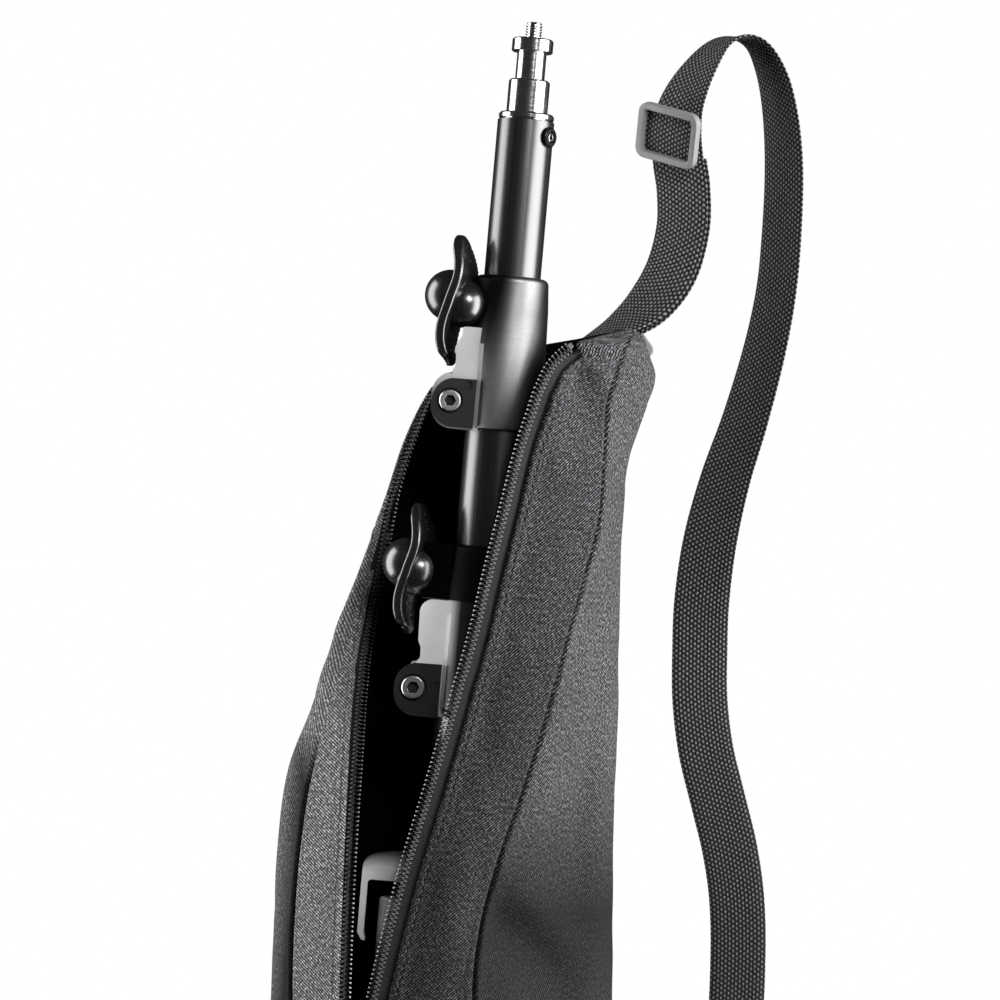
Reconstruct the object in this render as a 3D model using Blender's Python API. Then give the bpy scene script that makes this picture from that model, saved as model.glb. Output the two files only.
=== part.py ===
"""A folded light stand lying on its back in its open, zipped carry bag.

+Y runs along the stand towards its spigot, +Z points up and the bag's flat back rests on Z = 0.
The stand is three telescoping tubes on the line X = 0, Z = AXIS_Z, with two clamping collars,
three folded legs and their braces. The bag is a lofted fabric shell whose zip is open at the
spigot's end, with a webbing strap that lies beside it.
"""

import math

import bmesh
import bpy
from mathutils import Matrix, Vector

MM = 0.001                    # every size below is in millimetres
GAP = 0.3                     # between pieces that touch
ROUND = 24                    # sides of the large round pieces
LEG_ROUND = 24
SMALL_ROUND = 16              # sides of screws, bolts and coils

# The stand, by Y along its axis
AXIS_Z = 41.0
TUBE_WALL = 1.2
TOP_TUBE_R = 11.0
MIDDLE_TUBE_R = 13.0
LOWER_TUBE_R = 15.0
TOP_TUBE_ENDS = (-330.0, 441.2)
MIDDLE_TUBE_ENDS = (-380.0, 357.2)
LOWER_TUBE_ENDS = (-430.0, 251.2)
SPIGOT_R = 8.0                # the 5/8 inch lamp spigot
SPIGOT_TIP_Y = 480.0
UPPER_RIM_Y = 380.2
SET_SCREW_Y = UPPER_RIM_Y + 54.7
SET_SCREW_DIRECTION = Vector((0.825, -0.565, 0.0)).normalized()
SET_SCREW_R = 2.2
LOWER_RIM_Y = 275.6
LUG_TOP = 11.7                # flat face of the clamp lugs above the stand's axis

# Clamping knobs: hub centre from the stand's axis, and how far the axis dips below level
KNOB_DIP = math.radians(18.0)
KNOB_DROP = 10.6              # below the collar's rim
UPPER_KNOB_CENTRE = (-22.2, 4.0)
LOWER_KNOB_CENTRE = (-30.4, 1.0)
HUB_R = 9.8
HUB_HALF_OUTER = 11.2
HUB_HALF_INNER = 10.7
WING_REACH = 29.6             # radius swept by the wing, with its clearance
WING_THICKNESS = 3.9
WING_LINE = [                 # along the wing, outward offset, half width
    (26.0, -0.9, 4.2),
    (20.0, -1.0, 6.6),
    (12.0, -0.9, 8.2),
    (4.0, 0.7, 8.6),
    (-5.0, 2.1, 8.6),
    (-13.0, 1.9, 8.2),
    (-21.0, -0.4, 6.6),
    (-27.0, -2.3, 4.2),
]

# Legs: angle around the axis from +X, all folded parallel to the tubes
LEG_R = 10.0
LEG_PITCH = 28.0
LEG_ANGLES = (135.0, 15.0, 255.0)
LEG_ENDS = (-470.0, 135.2)
FOOT_R = 11.2
FOOT_LENGTH = 28.0
LEG_COLLAR_ENDS = (141.2, 152.4)
BRACE_ANGLES = (75.0, 195.0, 315.0)
BRACE_ENDS = (-405.0, -150.0)
BRACE_WIDTH = 10.0
BRACE_THICKNESS = 2.4
BRACE_RADIUS = 19.6

# The bag: one fabric section per row, from the zip's left edge round below to its right edge
FABRIC = 1.6
BAG_TOP_Y = 361.0
BAG_END_Y = -613.0
BAG_SECTIONS = [
    # Y, left edge, left crease, left side, floor left,
    # floor right, right side, right crease, right edge
    (361.0, (35.0, 36.0), (35.2, 33.0), (35.5, 30.0), (39.0, 18.0),
     (45.0, 14.0), (51.0, 27.0), (48.8, 42.0), (38.5, 46.0)),
    (357.0, (14.5, 14.0), (14.8, 12.0), (15.0, 10.0), (20.0, 6.0),
     (44.0, 5.0), (53.5, 26.0), (46.5, 45.0), (28.0, 54.0)),
    (347.6, (-9.9, 13.0), (-10.5, 11.2), (-11.0, 9.0), (-6.0, 3.5),
     (43.0, 2.0), (57.5, 26.0), (43.5, 48.0), (17.5, 59.0)),
    (337.0, (-25.6, 13.0), (-26.3, 11.2), (-27.0, 9.0), (-20.0, 1.5),
     (42.0, 0.0), (57.5, 26.0), (41.0, 50.0), (13.2, 62.0)),
    (315.0, (-33.0, 13.0), (-34.6, 11.3), (-36.0, 9.0), (-28.0, 0.0),
     (42.0, 0.0), (51.5, 27.0), (41.5, 50.0), (8.0, 65.0)),
    (290.0, (-38.7, 12.0), (-40.6, 11.0), (-42.0, 9.0), (-34.0, 0.0),
     (43.0, 0.0), (51.0, 27.0), (41.5, 53.0), (4.0, 66.0)),
    (265.0, (-41.2, 12.0), (-45.6, 13.6), (-49.5, 12.0), (-42.0, 0.0),
     (45.0, 0.0), (52.0, 28.0), (37.5, 57.0), (0.0, 67.0)),
    (245.0, (-43.2, 16.0), (-49.6, 19.6), (-55.0, 18.0), (-46.0, 0.0),
     (46.0, 0.0), (53.2, 29.0), (33.5, 61.0), (-3.0, 68.5)),
    (222.0, (-44.0, 31.0), (-53.8, 33.4), (-61.0, 27.0), (-51.0, 0.0),
     (47.0, 0.0), (55.0, 30.0), (29.0, 64.0), (-7.5, 70.5)),
    (184.0, (-42.6, 54.0), (-60.5, 52.5), (-70.0, 36.0), (-56.0, 0.0),
     (48.0, 0.0), (56.5, 31.0), (21.0, 70.0), (-14.8, 74.5)),
    (150.0, (-41.2, 67.0), (-62.5, 60.0), (-71.5, 38.0), (-57.0, 0.0),
     (49.0, 0.0), (59.0, 32.0), (12.5, 75.0), (-22.0, 77.5)),
    (112.0, (-39.2, 74.5), (-61.0, 65.0), (-69.5, 38.0), (-57.0, 0.0),
     (50.0, 0.0), (61.6, 34.0), (9.0, 77.5), (-28.0, 78.3)),
    (72.0, (-36.9, 78.0), (-57.0, 70.5), (-68.0, 38.0), (-57.0, 0.0),
     (52.0, 0.0), (64.0, 35.0), (15.0, 78.0), (-33.1, 78.0)),
    (-80.0, (-36.9, 78.0), (-55.0, 72.5), (-69.0, 38.0), (-57.0, 0.0),
     (53.0, 0.0), (65.0, 36.0), (22.0, 78.0), (-33.1, 78.0)),
    (-300.0, (-36.9, 78.0), (-55.0, 72.5), (-69.0, 38.0), (-57.0, 0.0),
     (53.0, 0.0), (65.0, 36.0), (22.0, 78.0), (-33.1, 78.0)),
    (-520.0, (-36.9, 78.0), (-54.0, 72.5), (-67.0, 38.0), (-55.0, 0.0),
     (52.0, 0.0), (63.0, 36.0), (22.0, 78.0), (-33.1, 78.0)),
    (-609.0, (-36.9, 78.0), (-52.0, 72.0), (-65.0, 39.0), (-54.0, 0.0),
     (50.0, 0.0), (61.0, 37.0), (20.0, 78.0), (-33.1, 78.0)),
]
LEFT_CREASE, FLOOR_LEFT, FLOOR_RIGHT, RIGHT_CREASE, RIGHT_EDGE = 1, 3, 4, 6, 7
SECTION_STEPS = 10            # straight steps between two section corners
COIL_R = 1.1
TAPE_START = 1.5              # from the teeth's line, along the section
TAPE_END = 5.3
TAPE_THICKNESS = 1.0
TAPE_STEPS = 2
PANEL_START = 6.0
NARROWEST_PANEL = 3.5         # a panel ends where its strip gets narrower
NARROWEST_SIDE = 9.0
SLIDER_WIDTH = 9.2
TOP_STOP_SHIFT = 5.9          # from the cloth's edge out to the stop's middle
RING_CENTRE = (52.5, 359.5, 2.4)
RING_TURN = -49.0
SEAM_GAP = 0.6                # between two panels
MITRE = 0.8                   # half the width over which a panel's normal is averaged
CHAIN_X = -35.0
CHAIN_Z = 78.0
CHAIN_TOP_Y = 72.0            # below here the zip is closed
SLIDER_Y = 62.0
PULL_HINGE_Z = 5.2            # above the chain

# The strap: centre line on the ground, and the tilt of its width from level to past upright
STRAP_WIDTH = 22.0
STRAP_THICKNESS = 1.6
STRAP_CLEARANCE = 0.2
DOUBLED_SHIFT = -2.9          # from the strap's middle to the doubled layer's middle
STRAP_LINE = [
    # X, Y, tilt in degrees, lift off the ground
    (44.0, 367.5, 62.0, 1.4),
    (54.5, 377.5, 42.0, 2.3),
    (62.0, 391.0, 30.0, 2.6),
    (65.0, 408.0, 28.0, 2.7),
    (63.8, 423.0, 28.0, 3.0),
    (61.4, 433.5, 28.0, 3.8),
    (59.8, 444.0, 28.0, 3.8),
    (58.2, 454.5, 28.0, 3.8),
    (61.6, 468.0, 44.0, 2.0),
    (70.6, 478.4, 66.0, 0.4),
    (80.0, 481.6, 86.0, 0.0),
    (89.0, 479.2, 108.0, 0.0),
    (96.6, 469.0, 125.0, 0.0),
    (101.2, 453.6, 133.0, 0.0),
    (104.2, 434.0, 135.0, 0.0),
    (105.3, 410.0, 135.0, 0.0),
    (105.0, 386.5, 135.0, 0.0),
    (102.3, 362.0, 137.0, 0.0),
    (96.8, 334.0, 142.0, 0.0),
    (91.1, 309.6, 150.0, 0.0),
    (87.4, 285.3, 161.0, 0.0),
    (86.3, 261.3, 171.0, 0.0),
    (87.3, 241.3, 178.0, 0.0),
    (89.1, 221.5, 180.0, 0.0),
    (93.2, 201.8, 180.0, 0.0),
    (99.7, 182.4, 180.0, 0.0),
    (106.2, 163.0, 180.0, 0.0),
    (110.7, 143.4, 180.0, 0.0),
    (113.2, 120.0, 180.0, 0.0),
    (114.4, 85.0, 180.0, 0.0),
    (114.0, 0.0, 180.0, 0.0),
    (109.0, -110.0, 180.0, 0.0),
    (102.0, -230.0, 180.0, 0.0),
    (98.0, -340.0, 180.0, 0.0),
    (93.0, -440.0, 180.0, 0.0),
    (86.0, -520.0, 180.0, 0.0),
    (80.0, -585.0, 180.0, 0.0),
]
TWIST_STATIONS = 5             # strap points over which the band twists most
DOUBLED_END = 4.5              # where the doubled layer stops, short of the adjuster
ADJUSTER_STATION = 6           # the strap point that the adjuster sits on
ADJUSTER_WIDTH = 28.4
ADJUSTER_LENGTH = 20.0
ADJUSTER_BAR = 3.2


# ---------------------------------------------------------------- helpers

def clear_scene():
    for old in list(bpy.data.objects):
        bpy.data.objects.remove(old, do_unlink=True)


def material(name, colour, roughness, metallic=0.0):
    """A Principled material, made once per name."""
    made = bpy.data.materials.get(name) or bpy.data.materials.new(name)
    made.use_nodes = True
    shader = made.node_tree.nodes["Principled BSDF"]
    shader.inputs["Base Color"].default_value = (*colour, 1.0)
    shader.inputs["Roughness"].default_value = roughness
    shader.inputs["Metallic"].default_value = metallic
    return made


def empty(name, parent=None, matrix=None):
    made = bpy.data.objects.new(name, None)
    bpy.context.collection.objects.link(made)
    made.parent = parent
    made.matrix_basis = matrix or Matrix()
    return made


def from_bmesh(name, mesh_data, surface, parent=None, matrix=None, smooth=True):
    """Turns a bmesh in millimetres into a named object in metres."""
    bmesh.ops.scale(mesh_data, vec=(MM, MM, MM), verts=mesh_data.verts)
    bmesh.ops.recalc_face_normals(mesh_data, faces=mesh_data.faces)
    mesh = bpy.data.meshes.new(name)
    mesh_data.to_mesh(mesh)
    mesh_data.free()
    if smooth:
        mesh.shade_smooth()
        mesh.set_sharp_from_angle(angle=math.radians(35.0))
    mesh.materials.append(surface)
    made = bpy.data.objects.new(name, mesh)
    bpy.context.collection.objects.link(made)
    made.parent = parent
    made.matrix_basis = matrix or Matrix()
    return made


def skin(rings, closed=False):
    """A bmesh through rings of equal length, capped at both ends unless it closes on itself."""
    made = bmesh.new()
    rows = [[made.verts.new(point) for point in ring] for ring in rings]
    count = len(rows[0])
    pairs = list(zip(rows, rows[1:]))
    if closed:
        pairs.append((rows[-1], rows[0]))
    for row, following in pairs:
        for index in range(count):
            after = (index + 1) % count
            made.faces.new((row[index], row[after], following[after], following[index]))
    if not closed:
        made.faces.new(rows[0])
        made.faces.new(list(reversed(rows[-1])))
    return made


def turned_mesh(outline, sides=ROUND):
    """A solid of revolution about Z. outline is (radius, height); it closes on the axis or on itself."""
    made = bmesh.new()
    solid = outline[0][0] == 0.0
    verts = [made.verts.new((radius, 0.0, height)) for radius, height in outline]
    edges = [made.edges.new(pair) for pair in zip(verts, verts[1:])]
    if not solid:
        edges.append(made.edges.new((verts[-1], verts[0])))
    bmesh.ops.spin(made, geom=verts + edges, axis=(0, 0, 1), cent=(0, 0, 0),
                   steps=sides, angle=2.0 * math.pi, use_duplicate=False)
    bmesh.ops.remove_doubles(made, verts=made.verts, dist=0.001)
    return made


def extruded_mesh(outline, low, high):
    """An outline in X and Z, extruded along Y from low to high."""
    rings = [[(x, y, z) for x, z in outline] for y in (low, high)]
    return skin(rings)


def box_mesh(low, high):
    outline = [(low[0], low[2]), (high[0], low[2]), (high[0], high[2]), (low[0], high[2])]
    return extruded_mesh(outline, low[1], high[1])


def tube_outline(radius, low, high, wall=TUBE_WALL):
    return [(radius, low), (radius, high), (radius - wall, high), (radius - wall, low)]


def arc(centre, radius, start, end, steps):
    """Points of an arc in a plane, from one angle to another in degrees."""
    points = []
    for step in range(steps + 1):
        angle = math.radians(start + (end - start) * step / steps)
        points.append((centre[0] + radius * math.cos(angle), centre[1] + radius * math.sin(angle)))
    return points


def cut_or_join(target, mesh_data, matrix, operation):
    """Joins a shape, placed in the object's own frame, to it or cuts it away, and applies the result."""
    surface = target.data.materials[0]
    tool = from_bmesh("tool", mesh_data, surface, target.parent, target.matrix_basis @ matrix, smooth=False)
    boolean = target.modifiers.new(operation, "BOOLEAN")
    boolean.operation = operation
    boolean.solver = "EXACT"
    boolean.object = tool
    bpy.context.view_layer.update()
    evaluated = target.evaluated_get(bpy.context.evaluated_depsgraph_get())
    mesh = bpy.data.meshes.new_from_object(evaluated)
    target.modifiers.clear()
    target.data = mesh
    mesh.shade_smooth()
    mesh.set_sharp_from_angle(angle=math.radians(35.0))
    bpy.data.objects.remove(tool, do_unlink=True)


def smooth_point(points, position):
    """Catmull-Rom curve through points of any dimension, at a position counted in points."""
    index = min(int(position), len(points) - 2)
    part = position - index
    before = points[max(index - 1, 0)]
    start = points[index]
    end = points[index + 1]
    after = points[min(index + 2, len(points) - 1)]
    result = []
    for a, b, c, d in zip(before, start, end, after):
        result.append(0.5 * (2.0 * b + (c - a) * part + (2.0 * a - 5.0 * b + 4.0 * c - d) * part ** 2
                             + (3.0 * b - a - 3.0 * c + d) * part ** 3))
    return result


# ---------------------------------------------------------------- materials

def make_materials():
    return {
        "anodised": material("anodised black tube", (0.012, 0.012, 0.013), 0.18, 0.6),
        "casting": material("dark grey casting", (0.06, 0.06, 0.062), 0.35, 0.7),
        "satin": material("satin grey metal", (0.42, 0.42, 0.42), 0.4, 0.8),
        "chrome": material("chrome", (0.8, 0.8, 0.8), 0.08, 1.0),
        "plastic": material("black plastic", (0.02, 0.02, 0.02), 0.45),
        "rubber": material("black rubber", (0.02, 0.02, 0.02), 0.8),
        "fabric": material("grey twill", (0.05, 0.05, 0.055), 0.85),
        "tape": material("black tape", (0.01, 0.01, 0.01), 0.9),
        "coil": material("zip coil", (0.03, 0.03, 0.03), 0.35),
        "webbing": material("black webbing", (0.02, 0.02, 0.02), 0.8),
        "buckle": material("grey plastic", (0.2, 0.2, 0.2), 0.4),
    }


# ---------------------------------------------------------------- the stand

def make_tubes(looks, frames):
    """The three sections, each with a plug or cap, and the spigot in the top one."""
    base, middle, top = frames["base"], frames["middle"], frames["top"]
    top_shape = turned_mesh(tube_outline(TOP_TUBE_R, *TOP_TUBE_ENDS))
    top_tube = from_bmesh("top_tube", top_shape, looks["anodised"], top)
    screw_place = Matrix.Translation(Vector((0, 0, SET_SCREW_Y)) * MM) @ \
        SET_SCREW_DIRECTION.to_track_quat("Z", "Y").to_matrix().to_4x4()
    hole_r = SET_SCREW_R + 0.4
    hole = turned_mesh([(0.0, 6.0), (hole_r, 6.0), (hole_r, 16.0), (0.0, 16.0)], SMALL_ROUND)
    cut_or_join(top_tube, hole, screw_place, "DIFFERENCE")
    head_low, head_high, socket_low = 11.4, 12.9, 11.9
    head_r, socket_r = 3.5, 1.5
    screw = [(0.0, 9.6), (SET_SCREW_R, 9.6), (SET_SCREW_R, head_low), (head_r, head_low),
             (head_r, head_high - 0.5), (head_r - 0.4, head_high), (socket_r, head_high),
             (socket_r, socket_low), (0.0, socket_low)]
    from_bmesh("spigot_set_screw", turned_mesh(screw, SMALL_ROUND), looks["chrome"], top, screw_place)

    middle_tube = turned_mesh(tube_outline(MIDDLE_TUBE_R, *MIDDLE_TUBE_ENDS))
    from_bmesh("middle_tube", middle_tube, looks["anodised"], middle)
    lower_tube = turned_mesh(tube_outline(LOWER_TUBE_R, *LOWER_TUBE_ENDS))
    from_bmesh("lower_tube", lower_tube, looks["anodised"], base)

    for name, radius, ends, frame in (("top_tube_plug", TOP_TUBE_R, TOP_TUBE_ENDS, top),
                                      ("middle_tube_plug", MIDDLE_TUBE_R, MIDDLE_TUBE_ENDS, middle),
                                      ("lower_tube_cap", LOWER_TUBE_R, LOWER_TUBE_ENDS, base)):
        inner = radius - TUBE_WALL - GAP
        low = ends[0]
        outline = [(0.0, low - 3.0), (radius - 0.5, low - 3.0), (radius, low - 2.2), (radius, low - GAP),
                   (inner, low - GAP), (inner, low + 22.0), (inner - 1.5, low + 24.0), (0.0, low + 24.0)]
        from_bmesh(name, turned_mesh(outline), looks["plastic"], frame)

    tip = SPIGOT_TIP_Y
    head = tip - 7.0
    plug_r = TOP_TUBE_R - TUBE_WALL - 0.5
    outline = [
        (0.0, head - 78.0), (plug_r, head - 78.0), (plug_r, head - 31.4), (10.7, head - 31.4),
        (10.7, head - 29.6), (10.2, head - 29.1), (SPIGOT_R, head - 29.1), (SPIGOT_R, head - 16.6),
        (7.4, head - 16.0), (5.7, head - 16.0), (5.7, head - 5.4), (7.6, head - 5.4),
        (SPIGOT_R, head - 5.0), (SPIGOT_R, head - 0.6), (7.4, head), (3.2, head),
        (3.2, tip - 0.5), (2.6, tip), (0.0, tip),
    ]
    from_bmesh("spigot", turned_mesh(outline), looks["chrome"], top)


def knob_matrix(centre, y):
    """Local Z points out along the knob's axis, local Y along the stand."""
    outward = Vector((-math.cos(KNOB_DIP), math.sin(KNOB_DIP), 0.0))
    along = Vector((0.0, 0.0, 1.0))
    across = along.cross(outward)
    turn = Matrix((across, along, outward)).transposed().to_4x4()
    return Matrix.Translation(Vector((centre[0], -centre[1], y)) * MM) @ turn


def hub_outline(grow=0.0):
    """Two half ellipses of revolution, closed on the axis."""
    points = []
    steps = 10
    for step in range(steps + 1):
        angle = math.pi * step / steps - math.pi / 2.0
        half = (HUB_HALF_OUTER if angle > 0.0 else HUB_HALF_INNER) + grow
        radius = (HUB_R + grow) * math.cos(angle)
        points.append((0.0 if step in (0, steps) else radius, half * math.sin(angle)))
    return points


def make_knob(name, frame, looks):
    """A wing knob: the hub's two domes and the wing are one moulding round a threaded insert."""
    half = WING_THICKNESS / 2.0
    grip = from_bmesh(name + "_grip", turned_mesh(hub_outline(), 20), looks["plastic"], frame)
    rings = []
    for step in range(2 * len(WING_LINE) - 1):
        along, out, width = smooth_point(WING_LINE, step / 2.0)
        rings.append([(-width, along, out - half), (width, along, out - half),
                      (width, along, out + half), (-width, along, out + half)])
    cut_or_join(grip, skin(rings), Matrix(), "UNION")
    bore_r, bore_top = 3.6, 1.0
    bore = turned_mesh([(0.0, -14.0), (bore_r, -14.0), (bore_r, bore_top), (0.0, bore_top)], SMALL_ROUND)
    cut_or_join(grip, bore, Matrix(), "DIFFERENCE")
    insert_r = bore_r - GAP
    insert_top = bore_top - GAP
    insert_end = -10.4
    insert = [(0.0, insert_end), (insert_r - 0.5, insert_end), (insert_r, insert_end + 0.6),
              (insert_r, insert_top), (0.0, insert_top)]
    from_bmesh(name + "_screw", turned_mesh(insert, SMALL_ROUND), looks["chrome"], frame)


def lug_outline(bolt_x, bolt_z, right_x, size, inset=0.0, web_top=None):
    """The rounded lug round a clamp bolt, seen along the bolt, with its web up to the knob."""
    left = bolt_x - 7.3 * size + inset
    top = bolt_z + 9.3 * size - inset
    bottom = bolt_z - 10.6 * size + inset
    radius = 7.0 * size
    points = [(right_x, bottom)]
    if web_top is None:
        points.append((right_x, top))
    else:
        web_x = left + radius + 2.5
        points += [(right_x, web_top), (web_x, web_top), (web_x, top)]
    points += arc((left + radius, top - radius), radius, 90.0, 180.0, 6)
    points += arc((left + radius, bottom + radius), radius, 180.0, 270.0, 6)
    return points


def swap_depth(outline, low, high):
    """An outline in X and stand height, extruded through the depth between two heights above the axis."""
    rings = [[(x, -depth, along) for x, along in outline] for depth in (low, high)]
    return skin(rings)


def make_collar(name, frame, knob_place, looks, rim, inner_r, outer_r, bore_r, seat_y, bolt, size,
                boss_r=None):
    """A clamping collar: casting, bush, D shaped clamp plate, bolt and nut."""
    length = 59.5 * size
    bottom = rim - length
    body = [
        (0.0, bottom), (outer_r, bottom), (outer_r, rim - 27.0), (outer_r - 0.5, rim - 12.0),
        (outer_r - 1.2, rim - 2.6), (outer_r - 2.0, rim - 0.9), (outer_r - 3.2, rim), (0.0, rim),
    ]
    casting = from_bmesh(name, turned_mesh(body), looks["casting"], frame)
    bolt_x, bolt_y = bolt
    lug = lug_outline(bolt_x, bolt_y, -8.0, size, web_top=rim - 18.0)
    cut_or_join(casting, swap_depth(lug, -9.0, LUG_TOP), Matrix(), "UNION")
    if boss_r:
        boss = turned_mesh([(0.0, -17.0), (boss_r, -17.0), (boss_r, -11.9), (0.0, -11.9)], 24)
        cut_or_join(casting, boss, knob_place, "UNION")
    sweep = turned_mesh([(0.0, -5.3), (WING_REACH, -5.3), (WING_REACH, 26.0), (0.0, 26.0)], ROUND)
    cut_or_join(casting, sweep, knob_place, "DIFFERENCE")
    if not boss_r:
        cut_or_join(casting, turned_mesh(hub_outline(GAP + 0.1), 20), knob_place, "DIFFERENCE")
    past = 5.0
    bore = [(0.0, bottom - past), (bore_r + GAP, bottom - past), (bore_r + GAP, seat_y),
            (inner_r + GAP, seat_y), (inner_r + GAP, rim + past), (0.0, rim + past)]
    cut_or_join(casting, turned_mesh(bore), Matrix(), "DIFFERENCE")

    toward_viewer = Matrix.Rotation(math.radians(90.0), 4, "X")
    bolt_place = Matrix.Translation(Vector((bolt_x, 0.0, bolt_y)) * MM) @ toward_viewer
    hole = [(0.0, -30.0), (2.8, -30.0), (2.8, 30.0), (0.0, 30.0)]
    cut_or_join(casting, turned_mesh(hole, SMALL_ROUND), bolt_place, "DIFFERENCE")

    plate_low = LUG_TOP + GAP
    plate_high = plate_low + 2.2
    outline = lug_outline(bolt_x, bolt_y, bolt_x + 9.6 * size, size, inset=0.5)
    plate = from_bmesh(name.replace("collar", "clamp_plate"), swap_depth(outline, plate_low, plate_high),
                       looks["plastic"], frame)
    head_r = 4.35 * size
    recess = [(0.0, plate_high - 1.2), (head_r + GAP, plate_high - 1.2), (head_r + GAP, 30.0), (0.0, 30.0)]
    cut_or_join(plate, turned_mesh(hole, SMALL_ROUND), bolt_place, "DIFFERENCE")
    cut_or_join(plate, turned_mesh(recess, SMALL_ROUND), bolt_place, "DIFFERENCE")
    head_low = plate_high - 1.2 + GAP
    head_top = head_low + 2.2
    socket_r = 2.3 * size
    shank_r, shank_end, socket_depth, chamfer = 2.4, -15.0, 1.5, 0.5
    shank = [(0.0, shank_end), (shank_r, shank_end), (shank_r, head_low), (head_r, head_low),
             (head_r, head_top - chamfer), (head_r - chamfer, head_top), (socket_r, head_top),
             (socket_r, head_top - socket_depth), (0.0, head_top - socket_depth)]
    from_bmesh(name.replace("collar", "clamp_bolt"), turned_mesh(shank, SMALL_ROUND),
               looks["chrome"], frame, bolt_place)
    nut_r = 4.6
    nut_low = -9.0 - GAP - 4.0
    nut_hole_r = 3.1
    nut = [(nut_hole_r, nut_low), (nut_hole_r, nut_low + 4.0), (nut_r, nut_low + 4.0), (nut_r, nut_low)]
    from_bmesh(name.replace("collar", "clamp_nut"), turned_mesh(nut, 6), looks["chrome"], frame, bolt_place)

    bush_low, bush_high = seat_y - 5.8, seat_y - GAP
    bush = [(inner_r + GAP, bush_low), (bore_r, bush_low), (bore_r, bush_high),
            (inner_r + GAP, bush_high)]
    from_bmesh(name.replace("collar", "bush"), turned_mesh(bush), looks["plastic"], frame)


def make_collars(looks, frames):
    """Both collars with their knobs; the lower one is a size larger."""
    upper_y = UPPER_RIM_Y - KNOB_DROP
    upper_knob = knob_matrix(UPPER_KNOB_CENTRE, upper_y)
    make_collar("upper_collar", frames["middle"], upper_knob, looks, UPPER_RIM_Y, TOP_TUBE_R, 15.5,
                MIDDLE_TUBE_R, MIDDLE_TUBE_ENDS[1] + 6.4, (-19.7, UPPER_RIM_Y - 49.9), 1.0)
    make_knob("upper_knob", empty("upper_knob_axis", frames["middle"], upper_knob), looks)

    lower_y = LOWER_RIM_Y - KNOB_DROP
    lower_knob = knob_matrix(LOWER_KNOB_CENTRE, lower_y)
    make_collar("lower_collar", frames["base"], lower_knob, looks, LOWER_RIM_Y, MIDDLE_TUBE_R, 18.0,
                LOWER_TUBE_R, LOWER_TUBE_ENDS[1] + 6.4, (-24.2, LOWER_RIM_Y - 56.2), 1.08, boss_r=9.6)
    make_knob("lower_knob", empty("lower_knob_axis", frames["base"], lower_knob), looks)


def leg_place(angle, radius, y=0.0):
    """A frame on a leg's own axis, turned so that local X points away from the stand's axis."""
    spin = Matrix.Rotation(-math.radians(angle), 4, "Z")
    return spin @ Matrix.Translation(Vector((radius, 0.0, y)) * MM)


def make_legs(looks, frames):
    """Legs with their plugs and feet, the braces, and the collars that carry them."""
    base = frames["base"]
    low, high = LEG_ENDS
    inner = LEG_R - TUBE_WALL - GAP
    foot_top = low + FOOT_LENGTH - 4.0
    foot_bottom = low - 4.0
    for number, angle in enumerate(LEG_ANGLES, start=1):
        place = leg_place(angle, LEG_PITCH)
        leg = turned_mesh(tube_outline(LEG_R, low, high), LEG_ROUND)
        from_bmesh("leg_%d" % number, leg, looks["anodised"], base, place)
        plug = [(0.0, high - 16.0), (inner, high - 16.0), (inner, high + GAP), (LEG_R, high + GAP),
                (LEG_R, high + 3.4), (LEG_R - 0.6, high + 4.0), (0.0, high + 4.0)]
        from_bmesh("leg_plug_%d" % number, turned_mesh(plug, LEG_ROUND), looks["satin"], base, place)
        foot = [(0.0, foot_bottom), (FOOT_R - 1.5, foot_bottom), (FOOT_R, foot_bottom + 2.0),
                (FOOT_R, foot_top), (LEG_R + GAP, foot_top), (LEG_R + GAP, low - GAP),
                (0.0, low - GAP)]
        from_bmesh("foot_%d" % number, turned_mesh(foot, 24), looks["rubber"], base, place)

    for number, angle in enumerate(BRACE_ANGLES, start=1):
        half = BRACE_THICKNESS / 2.0
        side = BRACE_WIDTH / 2.0
        bar = box_mesh((-half, -side, BRACE_ENDS[0]), (half, side, BRACE_ENDS[1]))
        place = leg_place(angle, BRACE_RADIUS)
        from_bmesh("brace_%d" % number, bar, looks["satin"], base, place, smooth=False)

    ring_r = 18.0
    collar_low, collar_high = LEG_COLLAR_ENDS
    ring = tube_outline(ring_r, collar_low, collar_high, ring_r - LOWER_TUBE_R - GAP)
    collar = from_bmesh("leg_collar", turned_mesh(ring), looks["casting"], base)
    for angle in LEG_ANGLES[1:]:
        arm = box_mesh((16.6, -5.0, collar_low + 1.0), (LEG_PITCH, 5.0, collar_high - 1.0))
        cut_or_join(collar, arm, leg_place(angle, 0.0), "UNION")
        eye_r = LEG_R - 0.5
        eye = turned_mesh([(0.0, collar_low), (eye_r, collar_low), (eye_r, collar_high),
                           (0.0, collar_high)], LEG_ROUND)
        cut_or_join(collar, eye, leg_place(angle, LEG_PITCH), "UNION")

    brace_ring_r = 18.0
    brace_low = BRACE_ENDS[0] - 14.0
    brace_ring = tube_outline(brace_ring_r, brace_low, brace_low + 12.0, brace_ring_r - LOWER_TUBE_R - GAP)
    from_bmesh("brace_collar", turned_mesh(brace_ring), looks["casting"], base)
    make_leg_clip(looks, base)


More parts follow.
